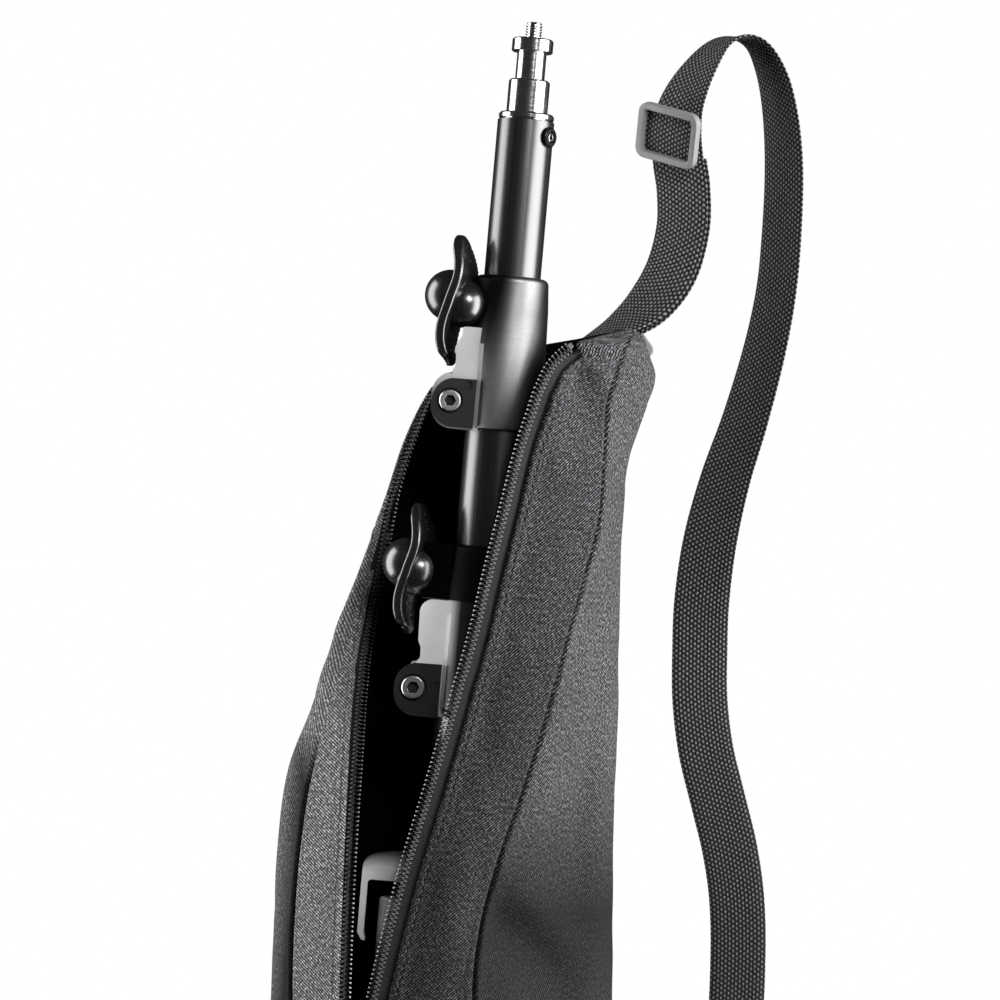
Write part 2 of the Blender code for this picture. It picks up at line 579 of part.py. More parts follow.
def make_leg_clip(looks, base):
    """The grey U shaped yoke over the first leg's end, open towards the feet."""
    centre_x = -19.8
    half_width = 17.2
    low, high = 21.0, 31.0     # above the stand's axis
    shoulder, crown, foot = 148.5, 152.6, 119.0
    finger = 2.4
    left, right = centre_x - half_width, centre_x + half_width
    outline = [(left, foot), (left + finger, foot), (left + finger, shoulder - 4.7),
               (right - finger, shoulder - 4.7), (right - finger, foot), (right, foot), (right, shoulder)]
    for step in range(1, 8):
        angle = math.pi * step / 8.0
        outline.append((centre_x + half_width * math.cos(angle),
                        shoulder + (crown - shoulder) * math.sin(angle)))
    outline.append((left, shoulder))
    from_bmesh("leg_clip", swap_depth(outline, low, high), looks["satin"], base)


# ---------------------------------------------------------------- the bag

def section_at(y):
    """The bag's corner points at one Y, as (X, Z) pairs."""
    rows = BAG_SECTIONS
    for index in range(len(rows) - 1):
        high, low = rows[index][0], rows[index + 1][0]
        if low <= y <= high:
            position = index + (high - y) / (high - low)
            break
    else:
        position = float(len(rows) - 1)
    flat = [[row[0]] + [value for corner in row[1:] for value in corner] for row in rows]
    values = smooth_point(flat, position)[1:]
    corners = list(zip(values[0::2], values[1::2]))
    if y < 330.0:
        corners[FLOOR_LEFT] = (corners[FLOOR_LEFT][0], 0.0)
        corners[FLOOR_RIGHT] = (corners[FLOOR_RIGHT][0], 0.0)
    if y < CHAIN_TOP_Y:
        corners[0] = (CHAIN_X - 1.9, CHAIN_Z)
        corners[RIGHT_EDGE] = (CHAIN_X + 1.9, CHAIN_Z)
    return corners


class Section:
    """The fabric's outline at one Y, which gives points and normals by length along it."""

    def __init__(self, y):
        self.y = y
        corners = section_at(y)
        self.points = []
        for index in range(RIGHT_EDGE):
            if index < FLOOR_LEFT:
                first, chain = 0, corners[:FLOOR_LEFT + 1]
            elif index < FLOOR_RIGHT:
                first, chain = FLOOR_LEFT, corners[FLOOR_LEFT:FLOOR_RIGHT + 1]
            else:
                first, chain = FLOOR_RIGHT, corners[FLOOR_RIGHT:]
            for step in range(SECTION_STEPS):
                self.points.append(tuple(smooth_point(chain, index - first + step / SECTION_STEPS)))
        self.points.append(corners[RIGHT_EDGE])
        self.lengths = [0.0]
        for start, end in zip(self.points, self.points[1:]):
            self.lengths.append(self.lengths[-1] + math.dist(start, end))
        self.marks = [self.lengths[SECTION_STEPS * index] for index in range(RIGHT_EDGE + 1)]
        self.half_gap = SEAM_GAP / 2.0 * stretch_at(y, "left")
        self.left_hem = PANEL_START * stretch_at(y, "left")
        self.right_hem = self.lengths[-1] - PANEL_START * stretch_at(y, "right")

    def point(self, length):
        length = min(max(length, 0.0), self.lengths[-1])
        index = 0
        while index < len(self.lengths) - 2 and self.lengths[index + 1] < length:
            index += 1
        part = (length - self.lengths[index]) / (self.lengths[index + 1] - self.lengths[index])
        start, end = self.points[index], self.points[index + 1]
        return Vector((start[0] + (end[0] - start[0]) * part, start[1] + (end[1] - start[1]) * part))

    def inward(self, length):
        run = self.point(length + MITRE) - self.point(length - MITRE)
        return Vector((-run.y, run.x)).normalized()

    def strip(self, start, end, steps, thickness, lift=0.0):
        """A closed ring of points: the outer side from start to end, then the inner side back.

        Both ends stop half a gap short of their seam, but take their normal at the seam itself,
        so neighbouring strips meet on one mitre.
        """
        outer, inner = [], []
        for step in range(steps + 1):
            length = start + (end - start) * step / steps
            trimmed = min(max(length, start + self.half_gap), end - self.half_gap)
            point = self.point(trimmed)
            normal = self.inward(length)
            near = point + normal * lift
            far = point + normal * (lift + thickness)
            outer.append((near.x, self.y, near.y))
            inner.append((far.x, self.y, far.y))
        return outer + inner[::-1]


def edge_path(y, side):
    """The teeth's line on one side, as a point in space."""
    corner = section_at(y)[0 if side == "left" else RIGHT_EDGE]
    return Vector((corner[0], y, corner[1]))


def stretch_at(y, side):
    """How much longer the section has to be where the zip runs across it at a slant."""
    ahead = edge_path(min(y + 1.0, BAG_TOP_Y), side)
    behind = edge_path(max(y - 1.0, BAG_END_Y), side)
    run = ahead - behind
    return min(run.length / abs(run.y), 2.4)


def bag_stations():
    """The Y of every section, closer together where the bag's mouth turns."""
    rows = [row[0] for row in BAG_SECTIONS]
    made = []
    for high, low in zip(rows, rows[1:]):
        parts = 2 if high - low > 12.0 else 1
        for part in range(parts):
            made.append(high + (low - high) * part / parts)
    made.append(rows[-1])
    return made


def right_side_end(section):
    return min(section.marks[RIGHT_CREASE], section.right_hem)


def back_start(section):
    return max(section.marks[FLOOR_LEFT], section.left_hem)


def left_side_start(section):
    """The left side panel starts at the crease, or at the hem where the front panel has run out."""
    crease, hem = section.marks[LEFT_CREASE], section.left_hem
    return crease if crease - hem >= NARROWEST_PANEL else hem


def make_bag(looks):
    """Five fabric panels with their seams, the end panel, and both halves of the zip."""
    sections = [Section(y) for y in bag_stations()]
    seams = {
        "bag_left_front_panel": (lambda s: s.left_hem, lambda s: s.marks[LEFT_CREASE], 4),
        "bag_left_side_panel": (left_side_start, lambda s: s.marks[FLOOR_LEFT], 6),
        "bag_back_panel": (back_start, lambda s: s.marks[FLOOR_RIGHT], 2),
        "bag_right_side_panel": (lambda s: s.marks[FLOOR_RIGHT], right_side_end, 7),
        "bag_right_front_panel": (lambda s: s.marks[RIGHT_CREASE], lambda s: s.right_hem, 4),
    }
    for name, (start, end, steps) in seams.items():
        rings = []
        for section in sections:
            low, high = start(section), end(section)
            narrowest = NARROWEST_SIDE if name == "bag_left_side_panel" else NARROWEST_PANEL
            if high - low < narrowest:
                continue
            rings.append(section.strip(low, high, steps, FABRIC))
        from_bmesh(name, skin(rings), looks["fabric"])

    for side in ("left", "right"):
        rings = []
        for section in sections:
            ratio = stretch_at(section.y, side)
            low, high = TAPE_START * ratio, TAPE_END * ratio
            if side == "right":
                low, high = section.lengths[-1] - high, section.lengths[-1] - low
            rings.append(section.strip(low, high, TAPE_STEPS, TAPE_THICKNESS, lift=0.2))
        from_bmesh("zip_tape_" + side, skin(rings), looks["tape"])
        make_coil(side, sections, looks)

    end = Section(BAG_END_Y + 4.0)
    outline = []
    for step in range(40):
        length = end.lengths[-1] * (step + 0.5) / 40.0
        point = end.point(length) + end.inward(length) * (FABRIC + 1.6)
        outline.append((point.x, point.y))
    inset = 4.4
    end = extruded_mesh(outline, BAG_END_Y + inset, BAG_END_Y + inset + FABRIC)
    from_bmesh("bag_end_panel", end, looks["fabric"])


def make_coil(side, sections, looks):
    """One half of the zip: an eight sided cord on the teeth's line."""
    path = [edge_path(section.y, side) for section in sections]
    rings = []
    for index, centre in enumerate(path):
        run = path[min(index + 1, len(path) - 1)] - path[max(index - 1, 0)]
        across = run.cross(Vector((0.0, 0.0, 1.0))).normalized()
        up = across.cross(run).normalized()
        ring = []
        for step in range(8):
            angle = math.pi * (step + 0.5) / 4.0
            ring.append(centre + across * COIL_R * math.cos(angle) + up * COIL_R * math.sin(angle))
        rings.append(ring)
    from_bmesh("zip_coil_" + side, skin(rings), looks["coil"])


def make_zip_slider(looks):
    """The slider straddles the closed chain; its post runs in the slot between the coils."""
    slide = empty("zip_slide", None, Matrix.Translation(Vector((CHAIN_X, SLIDER_Y, CHAIN_Z)) * MM))
    low, high = -6.0, 6.0
    half = SLIDER_WIDTH / 2.0
    upper_plate = box_mesh((-half, low, 1.5), (half, high, 3.1))
    body = from_bmesh("zip_slider", upper_plate, looks["satin"], slide, smooth=False)
    cut_or_join(body, box_mesh((-half, low, -3.7), (half, high, -2.3)), Matrix(), "UNION")
    cut_or_join(body, box_mesh((-0.45, 2.0, -2.8), (0.45, high, 2.0)), Matrix(), "UNION")
    for side in (-1.0, 1.0):
        lug = box_mesh((side * 2.0 - 0.6, -3.0, 2.6), (side * 2.0 + 0.6, 2.0, 6.8))
        cut_or_join(body, lug, Matrix(), "UNION")
    pin = Matrix.Translation(Vector((0.0, -0.5, PULL_HINGE_Z)) * MM)
    pin = pin @ Matrix.Rotation(math.radians(90.0), 4, "Y")
    pin_r, pin_half = 0.7, 2.0
    pin_shape = [(0.0, -pin_half), (pin_r, -pin_half), (pin_r, pin_half), (0.0, pin_half)]
    cut_or_join(body, turned_mesh(pin_shape, 10), pin, "UNION")

    hinge = empty("zip_pull_axis", slide, Matrix.Translation(Vector((0.0, -0.5, PULL_HINGE_Z)) * MM))
    outline = arc((0.0, 0.0), 1.8, 120.0, -90.0, 8) + [(-22.0, -1.5), (-22.0, -0.1), (-3.0, -0.1)]
    tab = skin([[(x, y, z) for y, z in outline] for x in (-1.1, 1.1)])
    pull = from_bmesh("zip_pull_tab", tab, looks["satin"], hinge, smooth=False)
    hole = [(0.0, -3.0), (1.0, -3.0), (1.0, 3.0), (0.0, 3.0)]
    cut_or_join(pull, turned_mesh(hole, 12), Matrix.Rotation(math.radians(90.0), 4, "Y"), "DIFFERENCE")
    cut_or_join(pull, box_mesh((-3.0, -24.0, -1.7), (3.0, -8.0, 0.1)), Matrix(), "UNION")


def make_zip_stops(looks):
    """A crimped stop at the top end of each coil, and one across both coils at the bottom."""
    for side in ("left", "right"):
        top = edge_path(BAG_TOP_Y, side)
        below = edge_path(BAG_TOP_Y - 2.0, side)
        outward = (top - below).normalized()
        turn = outward.to_track_quat("Y", "Z").to_matrix().to_4x4()
        place = Matrix.Translation((top + outward * TOP_STOP_SHIFT) * MM) @ turn
        stop = box_mesh((-1.6, -1.6, -1.4), (1.6, 1.6, 1.4))
        from_bmesh("zip_top_stop_" + side, stop, looks["satin"], None, place, smooth=False)
    bottom = BAG_SECTIONS[-1][0]
    half, thick = 3.4, 1.3
    stop = box_mesh((CHAIN_X - half, bottom - half, CHAIN_Z - thick),
                    (CHAIN_X + half, bottom - GAP, CHAIN_Z + thick))
    from_bmesh("zip_bottom_stop", stop, looks["satin"], smooth=False)


# ---------------------------------------------------------------- the strap

def strap_frame(position):
    """Centre, width direction and face normal of the strap at a position counted in points."""
    x, y, tilt, lift = smooth_point(STRAP_LINE, position)
    ahead = smooth_point(STRAP_LINE, min(position + 0.05, len(STRAP_LINE) - 1.0))
    behind = smooth_point(STRAP_LINE, max(position - 0.05, 0.0))
    run = Vector((ahead[0] - behind[0], ahead[1] - behind[1], 0.0)).normalized()
    side = run.cross(Vector((0.0, 0.0, 1.0)))
    angle = math.radians(tilt)
    width = side * math.cos(angle) + Vector((0.0, 0.0, 1.0)) * math.sin(angle)
    normal = width.cross(run)
    rise = abs(math.sin(angle)) * STRAP_WIDTH / 2.0 + abs(math.cos(angle)) * STRAP_THICKNESS / 2.0
    return Vector((x, y, rise + STRAP_CLEARANCE + max(lift, 0.0))), width, normal


def strap_rings(positions, shift=0.0):
    rings = []
    for position in positions:
        centre, width, normal = strap_frame(position)
        centre = centre + normal * shift
        half_w, half_t = STRAP_WIDTH / 2.0, STRAP_THICKNESS / 2.0
        rings.append([centre - width * half_w - normal * half_t, centre + width * half_w - normal * half_t,
                      centre + width * half_w + normal * half_t, centre - width * half_w + normal * half_t])
    return rings


def make_strap(looks):
    """The webbing, its doubled end below the adjuster, the adjuster, ring and sewn ends."""
    last = len(STRAP_LINE) - 1
    twisted = [step / 4.0 for step in range(4 * TWIST_STATIONS)]
    positions = twisted + [step / 2.0 for step in range(2 * TWIST_STATIONS, 2 * last + 1)]
    from_bmesh("shoulder_strap", skin(strap_rings(positions)), looks["webbing"])
    doubled = [position for position in twisted if position <= DOUBLED_END]
    from_bmesh("strap_doubled_end", skin(strap_rings(doubled, shift=DOUBLED_SHIFT)), looks["webbing"])

    centre, width, normal = strap_frame(float(ADJUSTER_STATION))
    along = normal.cross(width)
    turn = Matrix((width, along, normal)).transposed().to_4x4()
    place = Matrix.Translation(centre * MM) @ turn
    clear_low, clear_high = -STRAP_THICKNESS / 2.0 - 0.5, STRAP_THICKNESS / 2.0 + 0.5
    half_w, half_l = ADJUSTER_WIDTH / 2.0, ADJUSTER_LENGTH / 2.0
    bar = ADJUSTER_BAR
    low, high = clear_low - 1.8, clear_high + 1.8
    frame = from_bmesh("strap_adjuster", box_mesh((-half_w, -half_l, low), (half_w, half_l, high)),
                       looks["buckle"], None, place, smooth=False)
    window = STRAP_WIDTH / 2.0 + 0.5
    past_l, past_z = 20.0, 9.0
    opening = box_mesh((-window, -half_l + bar, -past_z), (window, half_l - bar, past_z))
    cut_or_join(frame, opening, Matrix(), "DIFFERENCE")
    passage = box_mesh((-window, -past_l, -past_z), (window, past_l, clear_high))
    cut_or_join(frame, passage, Matrix(), "DIFFERENCE")
    middle = box_mesh((-window - 1.0, -2.0, low), (window + 1.0, 2.0, clear_low))
    cut_or_join(frame, middle, Matrix(), "UNION")
    make_strap_ends(looks)


def make_strap_ends(looks):
    """The ring at the bag's top corner with its fabric tab, and the patch at the bottom corner."""
    ring_place = Matrix.Translation(Vector(RING_CENTRE) * MM)
    ring_place = ring_place @ Matrix.Rotation(math.radians(RING_TURN), 4, "Z")
    bar = 1.4
    path = [(-7.0, -3.2), (7.0, -3.2), (7.0, 3.2), (-7.0, 3.2)]
    rings = []
    for index, (x, y) in enumerate(path):
        outward = Vector((math.copysign(1.0, x), math.copysign(1.0, y), 0.0))
        rings.append([Vector((x, y, 0.0)) + outward * bar + Vector((0, 0, bar)),
                      Vector((x, y, 0.0)) - outward * bar + Vector((0, 0, bar)),
                      Vector((x, y, 0.0)) - outward * bar - Vector((0, 0, bar)),
                      Vector((x, y, 0.0)) + outward * bar - Vector((0, 0, bar))])
    from_bmesh("strap_top_ring", skin(rings, closed=True), looks["buckle"], None, ring_place, smooth=False)

    end_x, end_y = STRAP_LINE[-1][0], STRAP_LINE[-1][1]
    patch = [(end_x + 8.0, end_y - 3.4), (end_x - 14.0, end_y - 3.4), (56.0, -604.0), (58.0, -611.0),
             (end_x - 2.0, end_y - 18.0)]
    rings = [[(x, y, z) for x, y in patch] for z in (0.3, 2.3)]
    from_bmesh("strap_bottom_patch", skin(rings), looks["webbing"], smooth=False)


# ---------------------------------------------------------------- assembly

def main():
    clear_scene()
    looks = make_materials()
    along_y = Matrix.Rotation(math.radians(-90.0), 4, "X")
    base = empty("stand_base", None, Matrix.Translation((0.0, 0.0, AXIS_Z * MM)) @ along_y)
    middle = empty("mast_middle_slide", base)
    top = empty("mast_top_slide", middle)
    frames = {"base": base, "middle": middle, "top": top}
    make_tubes(looks, frames)
    make_collars(looks, frames)
    make_legs(looks, frames)
    make_bag(looks)
    make_zip_slider(looks)
    make_zip_stops(looks)
    make_strap(looks)


main()
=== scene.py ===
"""The looks of a folded light stand in its open zipped carry bag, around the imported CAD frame.

Sizes are in millimetres and are scaled to metres as each mesh is made. +Y runs along the stand
towards its spigot, +Z is up, and the bag lies on Z = 0.
"""

import math

import bmesh
import bpy
from mathutils import Matrix, Vector
from mathutils.noise import noise


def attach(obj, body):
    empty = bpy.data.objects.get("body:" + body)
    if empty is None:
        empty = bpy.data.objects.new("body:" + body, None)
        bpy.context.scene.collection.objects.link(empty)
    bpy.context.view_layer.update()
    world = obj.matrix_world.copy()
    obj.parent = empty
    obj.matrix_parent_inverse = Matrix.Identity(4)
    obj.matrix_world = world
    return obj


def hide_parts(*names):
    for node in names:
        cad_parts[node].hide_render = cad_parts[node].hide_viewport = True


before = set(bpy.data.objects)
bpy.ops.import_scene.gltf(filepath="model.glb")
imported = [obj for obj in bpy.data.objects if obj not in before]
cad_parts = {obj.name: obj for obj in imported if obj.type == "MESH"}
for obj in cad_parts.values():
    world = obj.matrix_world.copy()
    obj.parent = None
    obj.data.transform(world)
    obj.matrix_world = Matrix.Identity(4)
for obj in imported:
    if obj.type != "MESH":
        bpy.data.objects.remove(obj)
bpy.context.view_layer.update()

MM = 0.001
AXIS_Z = 41.0                    # the stand's axis above the floor
BASE = "bag_and_base"
UP = Vector((0.0, 0.0, 1.0))
ALONG_STAND = Matrix.Translation((0.0, 0.0, AXIS_Z)) @ Matrix.Rotation(math.radians(-90.0), 4, "X")


# ---------------------------------------------------------------- materials

class Surface:
    """A Principled material with short names for the nodes that this script needs."""

    def __init__(self, name, roughness=0.5, metallic=0.0, **values):
        self.material = bpy.data.materials.new(name)
        self.material.use_nodes = True
        self.tree = self.material.node_tree
        self.shader = self.tree.nodes["Principled BSDF"]
        self.shader.inputs["Roughness"].default_value = roughness
        self.shader.inputs["Metallic"].default_value = metallic
        for key, value in values.items():
            self.shader.inputs[key.replace("_", " ")].default_value = value

    def feed(self, socket, value):
        if isinstance(value, bpy.types.NodeSocket):
            self.tree.links.new(value, socket)
        else:
            socket.default_value = value

    def node(self, kind, inputs=None, **settings):
        made = self.tree.nodes.new("ShaderNode" + kind)
        for key, value in settings.items():
            setattr(made, key, value)
        for key, value in (inputs or {}).items():
            self.feed(made.inputs[key], value)
        return made

    def math(self, operation, first, second=0.0):
        return self.node("Math", {0: first, 1: second}, operation=operation).outputs[0]

    def add(self, first, second):
        return self.math("ADD", first, second)

    def sub(self, first, second):
        return self.math("SUBTRACT", first, second)

    def mul(self, first, second):
        return self.math("MULTIPLY", first, second)

    def scaled(self, vector, factor):
        return self.node("VectorMath", {0: vector, "Scale": factor}, operation="SCALE").outputs[0]

    def split(self, vector):
        return self.node("SeparateXYZ", {"Vector": vector}).outputs

    def place(self):
        """The point in the object's own space, in millimetres."""
        return self.scaled(self.node("TexCoord").outputs["Object"], 1.0 / MM)

    def weave(self):
        """The point's place in the flat cloth, in millimetres across and along it."""
        return self.node("Attribute", attribute_name="weave").outputs["Vector"]

    def noise(self, size, vector, detail=2.0, rough=0.5):
        """Noise of about that size in millimetres, from 0 to 1."""
        inputs = {"Vector": vector, "Scale": 1.0 / size, "Detail": detail, "Roughness": rough}
        return self.node("TexNoise", inputs).outputs["Fac"]

    def stretch(self, vector, scale):
        return self.node("VectorMath", {0: vector, 1: scale}, operation="MULTIPLY").outputs[0]

    def ramp(self, factor, low, high, to_low=0.0, to_high=1.0):
        inputs = {"Value": factor, "From Min": low, "From Max": high, "To Min": to_low, "To Max": to_high}
        return self.node("MapRange", inputs, clamp=True).outputs[0]

    def colour(self, factor, dark, light):
        mix = self.node("Mix", data_type="RGBA")
        self.feed(mix.inputs["Factor"], factor)
        mix.inputs[6].default_value = (*dark, 1.0)
        mix.inputs[7].default_value = (*light, 1.0)
        return mix.outputs[2]

    def tint(self, value):
        self.feed(self.shader.inputs["Base Color"], value)

    def rough(self, value):
        self.feed(self.shader.inputs["Roughness"], value)

    def bump(self, height, distance, strength=1.0):
        """distance is the height of a full step, in millimetres."""
        inputs = {"Height": height, "Distance": distance * MM, "Strength": strength}
        self.feed(self.shader.inputs["Normal"], self.node("Bump", inputs).outputs[0])


def twill(name, angle, dark, light, shades, fold=None):
    """Fine diagonal ribs of woven nylon, with yarn by yarn variation.

    shades are (low Y, high Y, low value, high value) ramps: light and shade painted along the bag.
    fold is the X of the open edge and of the bottom of the left side's fold, where shade is painted in.
    """
    s = Surface(name, 0.72, Sheen_Weight=0.03, Sheen_Roughness=0.45, Specular_IOR_Level=0.22)
    weave = s.weave()
    u, v, _ = s.split(weave)
    turn = math.radians(angle)
    across = s.add(s.mul(u, math.sin(turn)), s.mul(v, -math.cos(turn)))
    along = s.add(s.mul(u, math.cos(turn)), s.mul(v, math.sin(turn)))
    waver = s.mul(s.noise(3.0, weave), 2.4)
    rib = s.math("SINE", s.add(s.mul(across, math.tau / TWILL_PITCH), waver))
    yarn = s.math("SINE", s.mul(along, math.tau / (TWILL_PITCH * 1.3)))
    height = s.add(s.ramp(rib, -1.0, 1.0), s.mul(yarn, 0.12))
    grain = s.noise(0.7, weave, 3.0, 0.7)
    patch = s.noise(26.0, weave)
    slub = s.noise(0.85, s.stretch(weave, (1.0, 0.6, 1.0)), 2.0, 0.6)
    factor = s.add(s.mul(height, 0.5), s.mul(s.ramp(slub, 0.34, 0.66), 0.5))
    factor = s.mul(s.math("POWER", factor, 3.2), s.ramp(patch, 0.25, 0.75, 0.8, 1.15))
    tone = s.colour(s.ramp(factor, 0.02, 0.9), dark, light)
    x, y, _ = s.split(s.place())
    shade = 1.0
    for ramp in shades:
        shade = s.mul(shade, s.ramp(y, *ramp))
    # Painted shade along the left side's fold.
    if fold:
        beyond = s.math("MAXIMUM", s.ramp(y, *FOLD_TOP), s.ramp(y, *FOLD_BOTTOM))
        shade = s.mul(shade, s.math("MAXIMUM", s.ramp(x, *fold, 1.0, 0.04), beyond))
    s.tint(s.scaled(tone, shade))
    s.rough(s.ramp(grain, 0.2, 0.8, 0.66, 0.82))
    s.bump(s.add(height, s.mul(slub, 1.2)), 0.2, 0.9)
    return s.material


def webbing(name):
    """Heavy ribbed webbing: staggered bright floats on a dark ground, with painted shade that darkens it
    towards low Y.
    """
    s = Surface(name, 0.5, Sheen_Weight=0.02, Specular_IOR_Level=0.4)
    weave = s.weave()
    across, along, _ = s.split(weave)
    column = s.math("DIVIDE", across, WEB_COLUMN)
    odd = s.math("MODULO", s.math("FLOOR", s.add(column, 100.0)), 2.0)
    row = s.add(s.math("DIVIDE", along, WEB_ROW), s.mul(odd, 0.5))
    wobble = s.mul(s.sub(s.noise(1.9, weave), 0.5), 0.34)
    du = s.math("DIVIDE", s.sub(s.math("FRACT", s.add(column, wobble)), 0.5), 0.46)
    dv = s.math("DIVIDE", s.sub(s.math("FRACT", s.sub(row, wobble)), 0.5), 0.4)
    raised = s.ramp(s.add(s.mul(du, du), s.mul(dv, dv)), 1.0, 0.0)
    grain = s.noise(0.45, weave, 3.0, 0.7)
    glint = s.mul(s.math("POWER", raised, 1.6), s.ramp(grain, 0.3, 0.7, 0.55, 1.3))
    tone = s.colour(glint, (0.0013, 0.0013, 0.0015), (0.33, 0.33, 0.333))
    s.tint(s.scaled(tone, s.ramp(s.split(s.place())[1], 120.0, 400.0, 0.32, 1.0)))
    s.rough(s.ramp(glint, 0.0, 1.0, 0.75, 0.42))
    s.bump(s.add(raised, s.mul(grain, 0.12)), 0.45)
    return s.material


def tape_cloth(name):
    """The zip's flat woven tape, near black, with fine cross ribs."""
    s = Surface(name, 0.85)
    weave = s.weave()
    rib = s.math("SINE", s.mul(s.split(weave)[1], math.tau / 0.9))
    grain = s.noise(0.6, weave, 3.0, 0.7)
    height = s.add(s.ramp(rib, -1.0, 1.0, 0.0, 0.15), s.mul(grain, 1.3))
    s.tint(s.colour(s.ramp(height, 0.55, 1.35), (0.002, 0.002, 0.0022), (0.045, 0.045, 0.047)))
    s.bump(height, 0.12, 0.8)
    return s.material


def lining(name):
    """The bag's inside: a matt black coating over the weave."""
    s = Surface(name, roughness=0.95, Specular_IOR_Level=0.05)
    grain = s.noise(1.2, s.weave(), 3.0)
    s.tint(s.colour(grain, (0.0016, 0.0016, 0.0017), (0.0034, 0.0034, 0.0036)))
    s.bump(grain, 0.1)
    return s.material


def gloss_tube(name, roughness):
    """Black coated tube: a deep gloss with faint draw lines and specks."""
    s = Surface(name, roughness=roughness, Specular_IOR_Level=1.0, IOR=1.75)
    place = s.place()
    lines = s.noise(0.8, s.stretch(place, (1.0, 0.01, 1.0)), 2.0)
    speck = s.noise(0.9, place, 3.0, 0.7)
    s.tint(s.colour(speck, (0.0035, 0.0035, 0.0037), (0.006, 0.006, 0.0062)))
    s.rough(s.ramp(lines, 0.3, 0.7, roughness - 0.02, roughness + 0.04))
    s.bump(speck, 0.004, 0.5)
    return s.material


def cast_metal(name, dark, light, roughness, lathe=0.0):
    """Satin metal with a fine grain. lathe adds turning rings round the stand's axis."""
    s = Surface(name, roughness, 1.0)
    place = s.place()
    grain = s.noise(0.5, place, 3.0, 0.6)
    patch = s.noise(7.0, place)
    rings = s.noise(0.35, s.stretch(place, (0.02, 1.0, 0.02)))
    s.tint(s.colour(s.add(s.mul(grain, 0.5), s.mul(patch, 0.5)), dark, light))
    s.rough(s.ramp(rings, 0.3, 0.7, roughness - 0.03, roughness + 0.05))
    s.bump(s.add(s.mul(grain, 1.0 - lathe), s.mul(rings, lathe)), 0.02, 0.6)
    return s.material


def polished(name):
    """Chrome with hairline polishing marks."""
    s = Surface(name, roughness=0.07, metallic=1.0)
    place = s.place()
    marks = s.noise(0.3, s.stretch(place, (0.05, 1.0, 0.05)), 2.0)
    smudge = s.noise(5.0, place, 2.0)
    s.tint(s.colour(smudge, (0.78, 0.78, 0.79), (0.9, 0.9, 0.9)))
    s.rough(s.ramp(marks, 0.3, 0.7, 0.1, 0.19))
    s.bump(marks, 0.003, 0.4)
    return s.material


def moulded(name, dark, light, roughness, grain_height=0.02, shine=0.5, polish=0.0, shade=None):
    """Moulded plastic with a fine spark-eroded grain, and a polish over it if asked.

    shade is a (low Y, high Y, low value, high value) ramp: light and shade painted on.
    """
    s = Surface(name, roughness, Specular_IOR_Level=shine, Coat_Weight=polish, Coat_Roughness=0.2,
                Coat_IOR=1.8)
    place = s.place()
    grain = s.noise(0.35, place, 2.0, 0.6)
    tone = s.colour(s.noise(9.0, place), dark, light)
    if shade:
        tone = s.scaled(tone, s.ramp(s.split(place)[1], *shade))
    s.tint(tone)
    s.rough(s.ramp(grain, 0.3, 0.7, roughness - 0.04, roughness + 0.06))
    s.bump(grain, grain_height, 0.6)
    return s.material


def collar_metal(name, rim):
    """Brushed satin casting. On the upper collar a slanting band of painted highlight and painted light down
    its lower half; on the lower collar painted light towards the knob's side, below a black end.
    """
    s = Surface(name, 0.42, 1.0)
    place = s.place()
    x, y, _ = s.split(place)
    rings = s.noise(0.3, s.stretch(place, (0.03, 1.0, 0.03)), 3.0, 0.6)
    grain = s.noise(0.5, place, 3.0, 0.6)
    if name.startswith("upper"):
        # A slanting band of painted highlight, and painted light down the collar's lower half.
        slanted = s.add(x, s.mul(s.sub(rim, y), 0.2))
        shade = s.mul(s.ramp(slanted, -3.0, 4.0, 0.13, 1.0), s.ramp(slanted, 8.5, 14.5, 1.0, 0.26))
        shade = s.mul(shade, s.ramp(y, rim - 14.0, rim - 42.0, 1.0, 2.6))
        low, high, least = (0.15, 0.15, 0.151), (0.31, 0.31, 0.312), 0.1
    else:
        black_end = s.ramp(y, rim - 21.5, rim - 22.1)
        # Painted light towards the knob's side, at low X; above rim - 22 the casting's end is black.
        shade = s.mul(s.ramp(x, -8.5, -15.0, 0.03, 1.0), black_end)
        low, high, least = (0.6, 0.6, 0.6), (0.8, 0.8, 0.8), 0.012
        s.rough(s.ramp(black_end, 0.0, 1.0, 0.5, 0.6))
    tone = s.colour(s.add(s.mul(rings, 0.6), s.mul(grain, 0.4)), low, high)
    s.tint(s.scaled(tone, s.math("MAXIMUM", shade, least)))
    s.bump(s.add(s.mul(rings, 0.7), s.mul(grain, 0.3)), 0.03, 0.7)
    return s.material


UPPER_RIM_Y, LOWER_RIM_Y = 380.2, 275.6
TWILL_PITCH = 0.93
FOLD_TOP = (178.0, 200.0)        # the left fold's shade ends between these Y
FOLD_BOTTOM = (90.0, 40.0)
WEB_COLUMN = 1.45
WEB_ROW = 2.0

def grey(value, blue=None):
    return value, value, value if blue is None else blue


